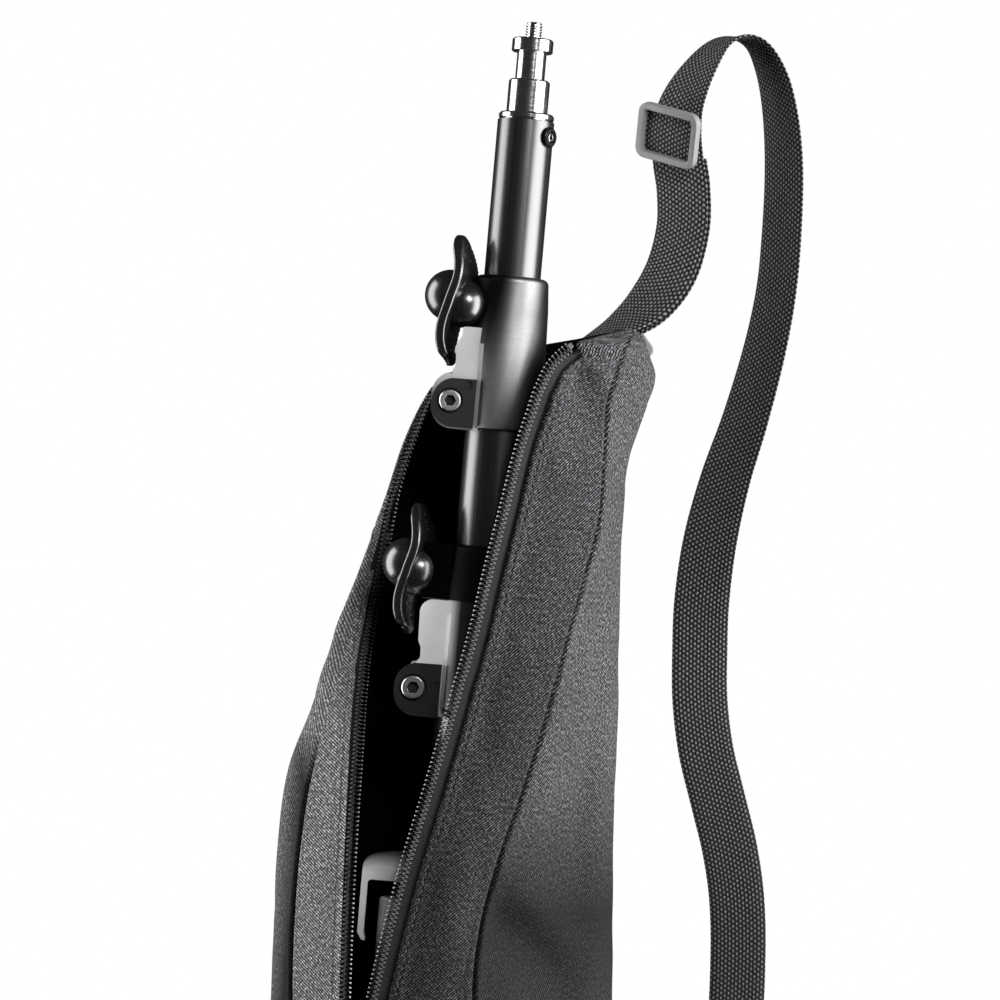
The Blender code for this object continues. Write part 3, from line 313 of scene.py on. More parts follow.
SURFACES = {
    # the function that makes it and what it is given after the name
    # All four twills are one cloth at different rib angles. The left side's and the left front's twills are
    # lighter copies with painted light. Every Y ramp below is painted light and shade, and the left side's
    # fold is painted shade.
    "twill_front": (twill, -48.0, grey(0.002, 0.0024), (0.38, 0.375, 0.4),
        ((120.0, 320.0, 0.36, 0.74), (330.0, 350.0, 1.0, 1.2))),
    "twill_side": (twill, -66.0, grey(0.014, 0.0145), grey(0.4, 0.408),
        ((138.0, 188.0, 0.1, 1.0), (170.0, 225.0, 0.62, 0.82), (100.0, 138.0, 2.6, 1.0))),
    "twill_left": (twill, 40.0, grey(0.06, 0.061), grey(0.84, 0.853),
        ((176.0, 200.0, 0.8, 1.1), (200.0, 330.0, 1.0, 0.85)), (-70.0, -63.2)),
    "twill_bright": (twill, 40.0, grey(0.06, 0.061), grey(0.84, 0.853),
        ((100.0, 200.0, 1.3, 1.15), (200.0, 330.0, 1.0, 0.8))),
    "lining": (lining,),
    "webbing": (webbing,),
    "tape": (tape_cloth,),
    "coil": (moulded, grey(0.003, 0.0035), grey(0.006, 0.007), 0.22, 0.0, 1.0),
    "thread": (moulded, grey(0.1, 0.102), grey(0.25, 0.253), 0.36),
    "hem_thread": (moulded, grey(0.05, 0.051), grey(0.1, 0.102), 0.5),
    "tube": (gloss_tube, 0.25),
    "casting": (cast_metal, grey(0.105, 0.107), grey(0.145, 0.147), 0.34, 0.7),
    "face": (moulded, grey(0.42), grey(0.58), 0.45, 0.04),
    # A lighter copy of the face look for the lower collar: painted light.
    "lower_face": (moulded, grey(0.86), grey(0.97), 0.4, 0.04),
    # The leg end sleeves: near white for their light metal, with its highlight painted in.
    "sleeve": (moulded, grey(0.88), grey(0.97), 0.3, 0.01),
    # A lighter tone on the coil's bulging heads: painted glints on a black filament.
    "coil_head": (moulded, grey(0.45), grey(0.62), 0.3, 0.0, 1.0),
    "black_casting": (cast_metal, grey(0.02, 0.021), grey(0.03, 0.031), 0.4, 0.6),
    "upper_casting": (collar_metal, UPPER_RIM_Y),
    "lower_casting": (collar_metal, LOWER_RIM_Y),
    "satin": (cast_metal, grey(0.6, 0.61), grey(0.72, 0.73), 0.32),
    "chrome": (polished,),
    "knob": (moulded, grey(0.006, 0.0065), grey(0.01, 0.0105), 0.27, 0.02, 1.0, 0.8),
    "plate": (moulded, grey(0.006), grey(0.01), 0.62, 0.05, 0.35),
    # The leg clip's grey, with painted shade on its crown end past Y 149.5.
    "grey": (moulded, grey(0.42, 0.425), grey(0.52, 0.525), 0.38, 0.02, 0.5, 0.0,
             (149.5, 156.0, 1.0, 0.1)),
    "buckle": (moulded, grey(0.22, 0.222), grey(0.33, 0.333), 0.3),
    "rubber": (moulded, grey(0.012), grey(0.02), 0.8, 0.08),
}
LOOKS = {name: make(name, *values) for name, (make, *values) in SURFACES.items()}


# ---------------------------------------------------------------- mesh helpers

def piece(name, mesh_data, look, body, replaces=(), matrix=None, angle=35.0, extra=(), bevel=0.0):
    """A bmesh in millimetres becomes a piece in metres that rides on a body."""
    mesh_data.transform(Matrix.Scale(MM, 4) @ (matrix or Matrix()))
    bmesh.ops.recalc_face_normals(mesh_data, faces=mesh_data.faces)
    mesh = bpy.data.meshes.new(name)
    mesh_data.to_mesh(mesh)
    mesh_data.free()
    mesh.shade_smooth()
    mesh.set_sharp_from_angle(angle=math.radians(angle))
    for each in (look, *extra):
        mesh.materials.append(LOOKS[each])
    made = bpy.data.objects.new(name, mesh)
    bpy.context.scene.collection.objects.link(made)
    if bevel:
        add_bevel(made, bevel)
    if body:
        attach(made, body)
        if replaces:
            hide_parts(*replaces)
    return made


def add_bevel(target, width, segments=3, angle=40.0):
    """A rounded edge, width in millimetres, with shading that keeps the flats flat."""
    bevel = target.modifiers.new("edge", "BEVEL")
    bevel.width = width * MM
    bevel.segments = segments
    bevel.limit_method = "ANGLE"
    bevel.angle_limit = math.radians(angle)
    bevel.harden_normals = True
    bevel.use_clamp_overlap = True


def skin(rings, closed=False):
    """A solid bmesh through rings of equal length, with end caps unless the last ring meets the first."""
    made = bmesh.new()
    rows = [[made.verts.new(point) for point in ring] for ring in rings]
    count = len(rows[0])
    for row, following in zip(rows, rows[1:] + rows[:1] if closed else rows[1:]):
        for index in range(count):
            after = (index + 1) % count
            made.faces.new((row[index], row[after], following[after], following[index]))
    if not closed:
        made.faces.new(rows[0])
        made.faces.new(list(reversed(rows[-1])))
    return made


def turned(outline, sides=96):
    """A solid of revolution about Z from (radius, height) points, closed on the axis or on itself."""
    made = bmesh.new()
    verts = [made.verts.new((radius, 0.0, height)) for radius, height in outline]
    edges = [made.edges.new(pair) for pair in zip(verts, verts[1:])]
    if outline[0][0] > 0.0:
        edges.append(made.edges.new((verts[-1], verts[0])))
    bmesh.ops.spin(made, geom=verts + edges, axis=(0, 0, 1), cent=(0, 0, 0),
                   steps=sides, angle=math.tau, use_duplicate=False)
    bmesh.ops.remove_doubles(made, verts=made.verts, dist=0.0005)
    return made


def box(low, high):
    """A box between two corners."""
    rings = []
    for y in (low[1], high[1]):
        rings.append([(low[0], y, low[2]), (high[0], y, low[2]), (high[0], y, high[2]), (low[0], y, high[2])])
    return skin(rings)


def rod(radius, low, high, sides=32):
    """A solid cylinder along Z."""
    return turned([(0.0, low), (radius, low), (radius, high), (0.0, high)], sides)


def at(x=0.0, y=0.0, z=0.0):
    return Matrix.Translation((x, y, z))


def arc(centre, radius, start, end, steps):
    """Points of an arc in a plane, from one angle to another in degrees."""
    points = []
    for step in range(steps + 1):
        angle = math.radians(start + (end - start) * step / steps)
        points.append((centre[0] + radius * math.cos(angle), centre[1] + radius * math.sin(angle)))
    return points


def carve(target, mesh_data, operation, matrix=None):
    """Joins a shape in millimetres to an object, or cuts it away, with the result applied."""
    tool = piece("tool", mesh_data, "face", None, matrix=matrix)
    boolean = target.modifiers.new(operation, "BOOLEAN")
    boolean.operation = operation
    boolean.solver = "EXACT"
    boolean.object = tool
    bpy.context.view_layer.update()
    mesh = bpy.data.meshes.new_from_object(target.evaluated_get(bpy.context.evaluated_depsgraph_get()))
    target.modifiers.clear()
    old = target.data
    target.data = mesh
    mesh.materials.clear()
    for look in old.materials:
        mesh.materials.append(look)
    mesh.polygons.foreach_set("material_index", [0] * len(mesh.polygons))
    mesh.shade_smooth()
    mesh.set_sharp_from_angle(angle=math.radians(35.0))
    bpy.data.objects.remove(tool, do_unlink=True)


def cut(target, mesh_data, matrix):
    carve(target, mesh_data, "DIFFERENCE", matrix)


def smooth_point(points, position):
    """Catmull-Rom curve through points of any dimension, at a position counted in points."""
    index = max(min(int(position), len(points) - 2), 0)
    part = position - index
    before = points[max(index - 1, 0)]
    after = points[min(index + 2, len(points) - 1)]
    result = []
    for a, b, c, d in zip(before, points[index], points[index + 1], after):
        result.append(0.5 * (2.0 * b + (c - a) * part + (2.0 * a - 5.0 * b + 4.0 * c - d) * part ** 2
                             + (3.0 * b - a - 3.0 * c + d) * part ** 3))
    return result


def sweep(path, radii, sides, ups=None):
    """Rings of a tube along a path of points. radii is one radius per point."""
    rings = []
    for index, centre in enumerate(path):
        run = (path[min(index + 1, len(path) - 1)] - path[max(index - 1, 0)]).normalized()
        up = ups[index] if ups else UP
        across = run.cross(up)
        if across.length < 1e-4:
            across = run.cross(Vector((1.0, 0.3, 0.0)))
        across.normalize()
        lift = across.cross(run).normalized()
        ring = []
        for step in range(sides):
            angle = math.tau * step / sides
            ring.append(centre + (across * math.cos(angle) + lift * math.sin(angle)) * radii[index])
        rings.append(ring)
    return rings


def set_weave(target, places):
    """Stores each point's place in the flat cloth, in millimetres."""
    attribute = target.data.attributes.new("weave", "FLOAT_VECTOR", "POINT")
    attribute.data.foreach_set("vector", [value for place in places for value in place])


def restyle(look, slot_nodes, bevel=0.0):
    """CAD nodes that keep their shape get a better surface and softened edges."""
    for name in slot_nodes:
        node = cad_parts[name]
        node.data.materials.clear()
        node.data.materials.append(LOOKS[look])
        if bevel:
            add_bevel(node, bevel, 2)


# ---------------------------------------------------------------- the bag's shape

# One fabric section per row, from the zip's left edge round below to its right edge
BAG_SECTIONS = [
    # Y, then X and Z of each corner: left edge, crease, side and floor, right floor, side, crease and edge
    (364, 42, 34, 42.2, 32, 42.4, 30, 44, 20, 47, 18, 51, 28, 48.6, 39, 43.6, 41),
    (361, 33, 34, 33.2, 31, 33.5, 28, 38, 16, 46, 12, 53.8, 27, 47.8, 43, 36, 47.5),
    (357, 14.5, 14, 14.8, 12, 15, 10, 20, 6, 44, 5, 55.6, 26, 45.6, 46, 26, 54.5),
    (347.6, -9.9, 13, -10.5, 11.2, -11, 9, -6, 3.5, 43, 2, 59.4, 26, 43.5, 48, 17.5, 59),
    (337, -25.6, 13, -26.3, 11.2, -27, 9, -20, 1.5, 42, 0, 57.5, 26, 41, 50, 13.2, 62),
    (315, -33, 13, -34.6, 11.3, -36, 9, -28, 0, 42, 0, 51.5, 27, 41.5, 50, 8, 65),
    (290, -38.7, 12, -40.6, 11, -42, 9, -34, 0, 43, 0, 51, 27, 41.5, 53, 4, 66),
    (265, -41.2, 12, -45.6, 13.6, -49.5, 12, -42, 0, 45, 0, 52, 28, 37.5, 57, 0, 67),
    (245, -43.2, 16, -49.6, 19.6, -55, 18, -46, 0, 46, 0, 53.2, 29, 33.5, 61, -3, 68.5),
    (222, -44, 31, -53.8, 33.4, -61, 27, -51, 0, 47, 0, 55, 30, 29, 64, -7.5, 70.5),
    (184, -42.6, 54, -60.5, 52.5, -70, 36, -56, 0, 48, 0, 56.5, 31, 21, 70, -14.8, 74.5),
    (150, -41.2, 67, -62.5, 60, -71.5, 38, -57, 0, 49, 0, 59, 32, 12.5, 75, -22, 77.5),
    (112, -39.2, 74.5, -61, 65, -69.5, 38, -57, 0, 50, 0, 61.6, 34, 9, 77.5, -28, 78.3),
    (72, -36.9, 78, -57, 70.5, -68, 38, -57, 0, 52, 0, 64, 35, 15, 78, -33.1, 78),
    (-80, -36.9, 78, -55, 72.5, -69, 38, -57, 0, 53, 0, 65, 36, 22, 78, -33.1, 78),
    (-300, -36.9, 78, -55, 72.5, -69, 38, -57, 0, 53, 0, 65, 36, 22, 78, -33.1, 78),
    (-520, -36.9, 78, -54, 72.5, -67, 38, -55, 0, 52, 0, 63, 36, 22, 78, -33.1, 78),
    (-609, -36.9, 78, -52, 72, -65, 39, -54, 0, 50, 0, 61, 37, 20, 78, -33.1, 78),
]
LEFT_CREASE, FLOOR_LEFT, FLOOR_RIGHT, RIGHT_CREASE, RIGHT_EDGE = 1, 3, 4, 6, 7
CLOTH = 0.9                      # the fabric's thickness
CHAIN_TOP_Y = 72.0               # below here the zip is closed
CHAIN_X = -35.0
CHAIN_Z = 78.0
FINE_ROWS_Y = 90.0               # above here the rows of the cloth lie closer together
FINEST_ROWS_Y = 335.0            # and from here on closer still
FLAT_FLOOR_Y = 330.0             # below here the bag lies flat on the ground
CHAIN_HALF = 1.9                 # from the closed chain's middle to the cloth's edge
LIFTED_Z, FOLDED_Z = 6.0, 20.0   # the folds set in between these heights

# Folds in the cloth: from one X, Y to another, half width and height (below zero for a furrow)
FOLDS = [
    # X, Y, X, Y, half width, height
    (22, 350, 36, 330, 6, -2.6), (30, 354, 44, 336, 4, 2),
    (16, 344, 24, 300, 6, 1.2), (12, 140, 46, 100, 7, -5),
    (14, 156, 54, 118, 8, 3.2), (26, 176, 34, 230, 8, 1.4),
    (36, 200, 40, 270, 5, -1.6), (46, 320, 47, 250, 3.5, -1.6),
    (48, 240, 44, 150, 4.5, -2), (50, 300, 50, 180, 4, 1.2),
    (52, 180, 52, 60, 5, 1.6), (-10, 190, -2, 120, 7, 1),
    (2, 230, 12, 180, 7, -0.9), (-52, 240, -57, 170, 5, 1.4),
    (-64, 210, -67, 130, 4.5, -2.2), (-50, 150, -52, 60, 5, -1.2),
]


def section_at(y):
    """The bag's corner points at one Y, as (X, Z) pairs."""
    position = float(len(BAG_SECTIONS) - 1)
    for index, (above, below) in enumerate(zip(BAG_SECTIONS, BAG_SECTIONS[1:])):
        if below[0] <= y <= above[0]:
            position = index + (above[0] - y) / (above[0] - below[0])
            break
    values = smooth_point(BAG_SECTIONS, position)[1:]
    corners = list(zip(values[0::2], values[1::2]))
    if y < FLAT_FLOOR_Y:
        corners[FLOOR_LEFT] = (corners[FLOOR_LEFT][0], 0.0)
        corners[FLOOR_RIGHT] = (corners[FLOOR_RIGHT][0], 0.0)
    if y < CHAIN_TOP_Y:
        corners[0] = (CHAIN_X - CHAIN_HALF, CHAIN_Z)
        corners[RIGHT_EDGE] = (CHAIN_X + CHAIN_HALF, CHAIN_Z)
    return corners


class Section:
    """The fabric's outline at one Y, which gives points and normals by length along it."""

    def __init__(self, y):
        steps = 12
        self.y = y
        corners = section_at(y)
        self.points = []
        for index in range(RIGHT_EDGE):
            if index < FLOOR_LEFT:
                first, chain = 0, corners[:FLOOR_LEFT + 1]
            elif index < FLOOR_RIGHT:
                first, chain = FLOOR_LEFT, corners[FLOOR_LEFT:FLOOR_RIGHT + 1]
            else:
                first, chain = FLOOR_RIGHT, corners[FLOOR_RIGHT:]
            for step in range(steps):
                self.points.append(tuple(smooth_point(chain, index - first + step / steps)))
        self.points.append(corners[RIGHT_EDGE])
        self.lengths = [0.0]
        for start, end in zip(self.points, self.points[1:]):
            self.lengths.append(self.lengths[-1] + math.dist(start, end))
        self.marks = [self.lengths[steps * index] for index in range(RIGHT_EDGE + 1)]
        self.total = self.lengths[-1]

    def point(self, length):
        """The point at a length along the section, carried on in a straight line past its ends."""
        index = 0
        while index < len(self.lengths) - 2 and self.lengths[index + 1] < length:
            index += 1
        part = (length - self.lengths[index]) / (self.lengths[index + 1] - self.lengths[index])
        start, end = self.points[index], self.points[index + 1]
        return Vector((start[0] + (end[0] - start[0]) * part, self.y, start[1] + (end[1] - start[1]) * part))

    def outward(self, length):
        run = self.point(length + 0.8) - self.point(length - 0.8)
        return Vector((run.z, 0.0, -run.x)).normalized()


def bag_rows():
    """The Y of every row of the cloth, closer together towards the open end."""
    rows = []
    y = BAG_SECTIONS[0][0]
    while y > BAG_SECTIONS[-1][0]:
        rows.append(y)
        y -= 1.5 if y > FINEST_ROWS_Y else (3.0 if y > FINE_ROWS_Y else 8.0)
    rows.append(BAG_SECTIONS[-1][0])
    return rows


SECTIONS = [Section(y) for y in bag_rows()]


def slant(section, side):
    """How much longer the section has to be where the zip runs across it at a slant."""
    corner = 0 if side == "left" else RIGHT_EDGE
    y = section.y
    high, low = min(y + 1.0, BAG_SECTIONS[0][0]), max(y - 1.0, BAG_SECTIONS[-1][0])
    ahead, behind = section_at(high)[corner], section_at(low)[corner]
    run = math.dist((*ahead, high), (*behind, low))
    return min(run / (high - low), 2.4)


def near_segment(x, y, fold):
    """Distance from a fold's line in the plan, and how far along the fold the nearest point is."""
    x0, y0, x1, y1 = fold[:4]
    run = ((x - x0) * (x1 - x0) + (y - y0) * (y1 - y0)) / ((x1 - x0) ** 2 + (y1 - y0) ** 2)
    part = min(max(run, 0.0), 1.0)
    return math.dist((x, y), (x0 + (x1 - x0) * part, y0 + (y1 - y0) * part)), run


def cloth_height(point):
    """How far the cloth stands off its smooth section: the folds and some small waves."""
    x, y, z = point
    height = 0.0
    upper = min(max((z - LIFTED_Z) / (FOLDED_Z - LIFTED_Z), 0.0), 1.0)
    for fold in FOLDS:
        away, run = near_segment(x, y, fold)
        width, tall = fold[4:]
        if away < 3.0 * width:
            end = min(max(1.2 - abs(run - 0.5) * 1.6, 0.0), 1.0)
            height += tall * math.exp(-(away / width) ** 2) * upper * end
    height += 0.9 * upper * noise(Vector((x / 16.0, y / 48.0, z / 16.0 + 3.0)))
    height += 0.35 * upper * noise(Vector((x / 6.0 + y / 30.0, y / 22.0, z / 6.0 + 9.0)))
    return height


def sheet_mesh(outer, inner):
    """A closed thin sheet from two grids of points. The inner side gets the second material."""
    made = bmesh.new()
    top, under = [[[made.verts.new(point) for point in row] for row in grid] for grid in (outer, inner)]
    last_row, last = len(top) - 1, len(top[0]) - 1
    for row in range(last_row):
        for index in range(last):
            made.faces.new((top[row][index], top[row][index + 1], top[row + 1][index + 1],
                            top[row + 1][index]))
            back = made.faces.new((under[row][index], under[row + 1][index],
                                   under[row + 1][index + 1], under[row][index + 1]))
            back.material_index = 1
        for index in (0, last):
            made.faces.new((top[row][index], top[row + 1][index], under[row + 1][index], under[row][index]))
    for row in (0, last_row):
        for index in range(last):
            made.faces.new((top[row][index], top[row][index + 1], under[row][index + 1], under[row][index]))
    return made


def woven(name, outer, inner, places, look, nodes=(), back=None):
    """A sheet piece whose material follows its weave. back is the look of its inner side."""
    made = piece(name, sheet_mesh(outer, inner), look, BASE, nodes, extra=(back or look,), angle=60.0)
    set_weave(made, places + places)
    return made


def spaced(width, low_edge, high_edge, count):
    """Lengths across a panel: close together at its edges, with count even steps between."""
    scale = min(1.0, width / (low_edge[-1] + high_edge[-1] + 2.0))
    start = [value * scale for value in low_edge]
    end = [width - value * scale for value in reversed(high_edge)]
    middle = [start[-1] + (end[0] - start[-1]) * step / count for step in range(1, count)]
    return start + middle + end


HEM = (0.0, 0.25, 0.6, 1.2, 1.8, 2.2, 2.6, 3.0, 3.5, 4.4, 6.0)
SEAM = (0.0, 0.3, 0.7, 1.3, 2.2, 3.5)
EDGES = {"hem": HEM, "either": HEM, "seam": SEAM, "plain": (0.0, 0.6)}
STITCH_LINE = 2.6                # from the hem's edge
PANELS = {
    # name: where it starts and ends, its edges, columns between them, material, CAD nodes
    "bag_left_front_cloth": (
        lambda s: HEM_LEFT * slant(s, "left"), lambda s: s.marks[LEFT_CREASE], "hem", "seam", 6,
        "twill_bright", ("bag_left_front_panel",)),
    "bag_left_side_cloth": (
        lambda s: max(s.marks[LEFT_CREASE], HEM_LEFT * slant(s, "left")), lambda s: s.marks[FLOOR_LEFT],
        "either", "plain", 22, "twill_left", ("bag_left_side_panel",)),
    "bag_back_cloth": (
        lambda s: max(s.marks[FLOOR_LEFT], HEM_LEFT * slant(s, "left")), lambda s: s.marks[FLOOR_RIGHT],
        "plain", "plain", 12, "twill_side", ("bag_back_panel",)),
    "bag_right_side_cloth": (
        lambda s: s.marks[FLOOR_RIGHT], lambda s: s.marks[RIGHT_CREASE], "plain", "seam", 26,
        "twill_side", ("bag_right_side_panel",)),
    "bag_right_front_cloth": (
        lambda s: s.marks[RIGHT_CREASE], lambda s: s.total - HEM_RIGHT * slant(s, "right") * closing(s),
        "seam", "hem", 20, "twill_front", ("bag_right_front_panel",)),
}
CREASE_END = (184.0, 200.0)      # the left crease dies out in the cloth here
HEM_CLOSES = (350.5, 357.5)
COIL_END = {"left": 344.0, "right": 355.5}
HEM_LEFT = 3.2                   # from the teeth's line to the hem
HEM_RIGHT = 6.4
NARROWEST = 1.6                  # a panel ends where it would be narrower
DEEPEST = -2.4                   # no seam or fold sinks further


def smooth_step(value, start, end):
    """0 before start, 1 after end, eased between."""
    part = min(max((value - start) / (end - start), 0.0), 1.0)
    return part * part * (3.0 - 2.0 * part)


def closing(section):
    """How far the hem stands off the right teeth's line: it closes over the zip's top end."""
    return 1.0 - 0.93 * smooth_step(section.y, *HEM_CLOSES)


def edge_rise(kind, away):
    """The cloth's height near an edge: a rolled hem with its stitched furrow, or a sunk seam."""
    if kind == "hem":
        rolled = 0.7 * (1.0 - math.exp(-(away / 0.45) ** 2)) * (1.0 / (1.0 + math.exp((away - 4.2) / 0.35)))
        return rolled - 0.55 * math.exp(-((away - STITCH_LINE) / 0.4) ** 2)
    if kind == "seam":
        return 0.5 * math.exp(-((away - 1.8) / 1.0) ** 2) - 1.5 * math.exp(-(away / 0.6) ** 2)
    return 0.0


def calm(away):
    """How much of the folds is left near an edge that the seam holds flat."""
    return min(1.0, 0.25 + away / 9.0)


def make_panels():
    """The bag's cloth panels, each a thin closed sheet lined with black."""
    for name, (start, end, low_kind, high_kind, count, look, nodes) in PANELS.items():
        outer, inner, places = [], [], []
        widths, rows_y = [], []
        for section in SECTIONS:
            low, high = start(section), end(section)
            width = high - low
            if width < NARROWEST:
                continue
            widths.append(width)
            rows_y.append(section.y)
            low_edge = low_kind
            if low_kind == "either":
                low_edge = "seam" if low == section.marks[LEFT_CREASE] else "hem"
            seam_depth = 1.0 - smooth_step(section.y, *CREASE_END) if "left" in name else 1.0
            low_depth = seam_depth if low_edge == "seam" else 1.0
            high_depth = seam_depth if high_kind == "seam" else 1.0
            row, back = [], []
            for across in spaced(width, EDGES[low_kind], EDGES[high_kind], count):
                length = low + across
                point = section.point(length)
                outward = section.outward(length)
                rise = edge_rise(low_edge, across) * low_depth
                rise += edge_rise(high_kind, width - across) * high_depth
                rise += cloth_height(point) * calm(min(across, width - across))
                spot = point + outward * max(rise, DEEPEST)
                spot.z = max(spot.z, 0.05)
                row.append(spot)
                back.append(spot - outward * CLOTH)
                places.append((across if low_edge == "hem" else across - width, section.y, 0.0))
            outer.append(row)
            inner.append(back)
        cloth = woven(name, outer, inner, places, look, nodes, "lining")


def make_end_panel():
    """The bag's closed end: a shallow dome of the same cloth, inside the seam."""
    end = Section(BAG_SECTIONS[-1][0])
    rim = []
    for step in range(72):
        length = end.total * (step + 0.5) / 72.0
        rim.append(end.point(length) - end.outward(length) * 1.8)
    centre = sum(rim, Vector()) / len(rim)
    rings = []
    dome = [(0.06, -1.9), (0.4, -1.6), (0.7, -1.1), (0.9, -0.3), (0.975, 0.5), (1.0, 1.4)]
    for scale, rise in dome:
        rings.append([centre + (point - centre) * scale + Vector((0.0, rise, 0.0)) for point in rim])
    for scale, rise in reversed(dome):
        rings.append([centre + (point - centre) * scale + Vector((0.0, rise + CLOTH, 0.0)) for point in rim])
    panel = piece("bag_end_cloth", skin(rings), "twill_side", BASE, ("bag_end_panel",), angle=60.0)
    set_weave(panel, [(point.x, point.z, 0.0) for ring in rings for point in ring])


# ---------------------------------------------------------------- the zip

ZIP_PITCH = 1.76
WIRE_R = 0.34


def zip_line(side, high, low):
    """Points along the teeth's line with the directions along it, towards the mouth and out of the cloth."""
    stations = []
    for section in SECTIONS:
        if not low <= section.y <= high:
            continue
        if side == "left":
            start, inside, outward = section.point(0.0), section.point(2.0), section.outward(1.5)
        else:
            start, inside = section.point(section.total), section.point(section.total - 2.0)
            outward = section.outward(section.total - 1.5)
        stations.append((start, (start - inside).normalized(), outward))
    made = []
    for index, (point, mouth, outward) in enumerate(stations):
        run = stations[min(index + 1, len(stations) - 1)][0] - stations[max(index - 1, 0)][0]
        run.normalize()
        mouth = (mouth - run * mouth.dot(run)).normalized()
        up = run.cross(mouth)
        if up.dot(outward) < 0.0:
            up.negate()
        made.append((point, run, mouth, up))
    return made


def along_line(stations, spacing):
    """The same frames at an even spacing along the line's length."""
    lengths = [0.0]
    for first, second in zip(stations, stations[1:]):
        lengths.append(lengths[-1] + (second[0] - first[0]).length)
    made = []
    index = 0
    count = int(lengths[-1] / spacing)
    for step in range(count + 1):
        length = step * spacing
        while index < len(lengths) - 2 and lengths[index + 1] < length:
            index += 1
        part = (length - lengths[index]) / (lengths[index + 1] - lengths[index])
        first, second = stations[index], stations[index + 1]
        made.append(tuple(a.lerp(b, part) for a, b in zip(first, second)))
    return made


def join(target, other):
    """Adds a second bmesh's shape to the first one."""
    verts = {vert: target.verts.new(vert.co) for vert in other.verts}
    for face in other.faces:
        made = target.faces.new([verts[vert] for vert in face.verts])
        made.material_index = face.material_index
    other.free()


def coil_mesh(side, high, low, turns, sides):
    """A coil filament wound along the teeth's line; each turn bulges where it meets the other half."""
    path, radii, ups = [], [], []
    for step, (point, run, mouth, up) in enumerate(along_line(zip_line(side, high, low), ZIP_PITCH / turns)):
        angle = math.tau * step / turns + (math.pi if side == "right" else 0.0)
        head = max(math.cos(angle), 0.0) ** 4
        path.append(point + mouth * (1.45 * math.cos(angle)) + up * (0.62 * math.sin(angle) + 0.2))
        radii.append(WIRE_R - 0.14 + 0.24 * head)
        ups.append(run)
    coil = skin(sweep(path, radii, sides, ups))
    coil.faces.ensure_lookup_table()
    # The bulging heads take the second look: painted glints.
    for index in range((len(path) - 1) * sides):
        if radii[index // sides] > WIRE_R + 0.02:
            coil.faces[index].material_index = 1
    return coil


def sewing_mesh(side, high, low, turns=8):
    """A zigzag of thread over the coil, on the cloth's side of it."""
    shift, swing = -1.37, 1.03
    lift, fall = 0.62, 0.42
    path, radii = [], []
    for step, (point, _, mouth, up) in enumerate(along_line(zip_line(side, high, low), ZIP_PITCH / turns)):
        angle = math.tau * step / turns
        rise = lift + fall * math.cos(angle) + 0.1 * math.cos(2.0 * angle)
        path.append(point + mouth * (shift + swing * math.cos(angle)) + up * rise)
        radii.append(0.07 + 0.27 * max(-math.cos(angle), 0.0) ** 3)
    return skin(sweep(path, radii, 5))


def make_zip():
    """Coils, their sewing, and the tapes that carry them."""
    low = BAG_SECTIONS[-1][0] + 1.0
    for side, top in COIL_END.items():
        coil = coil_mesh(side, top, FINE_ROWS_Y, 12, 6)
        join(coil, coil_mesh(side, FINE_ROWS_Y - 0.1, low, 8, 4))
        piece("zip_filament_" + side, coil, "coil", BASE, ("zip_coil_" + side,), angle=70.0,
              extra=("coil_head",))
        sewing = sewing_mesh(side, top, FINE_ROWS_Y)
        join(sewing, sewing_mesh(side, FINE_ROWS_Y - 0.1, low, 4))
        piece("zip_thread_" + side, sewing, "thread", BASE, angle=70.0)
        make_tape(side)


def make_top_stops():
    """The crimped stop at the top end of each coil."""
    for side, top in COIL_END.items():
        point, run, mouth, up = zip_line(side, top, FINE_ROWS_Y)[0]
        turn = Matrix((mouth, run, up)).transposed().to_4x4()
        stop = box((-1.3, -1.2, -0.6), (1.1, 1.2, 1.1))
        piece("top_stop_" + side, stop, "coil", BASE, ("zip_top_stop_" + side,),
              at(*point) @ turn, bevel=0.4)


def make_tape(side):
    """The flat tape: it starts under the coil and ends under the cloth's hem."""
    hem = HEM_LEFT if side == "left" else HEM_RIGHT
    outer, inner, places = [], [], []
    for section in SECTIONS:
        if side == "right" and closing(section) < 0.7:
            continue
        ratio = slant(section, side)
        row, back = [], []
        for across in (0.5, 1.0, 1.6, hem - 1.5, hem - 0.8, hem + 0.4, hem + 2.0, hem + 4.4):
            length = across * ratio if side == "left" else section.total - across * ratio
            sunk = -0.55 if across < hem - 1.4 else (-1.5 if across < hem else -1.9)
            spot = section.point(length) + section.outward(length) * sunk
            under = spot - section.outward(length) * 0.5
            spot.z, under.z = max(spot.z, 0.6), max(under.z, 0.05)
            row.append(spot)
            back.append(under)
            places.append((across, section.y, 0.0))
        outer.append(row)
        inner.append(back)
    woven("zip_band_" + side, outer, inner, places, "tape", ("zip_tape_" + side,))


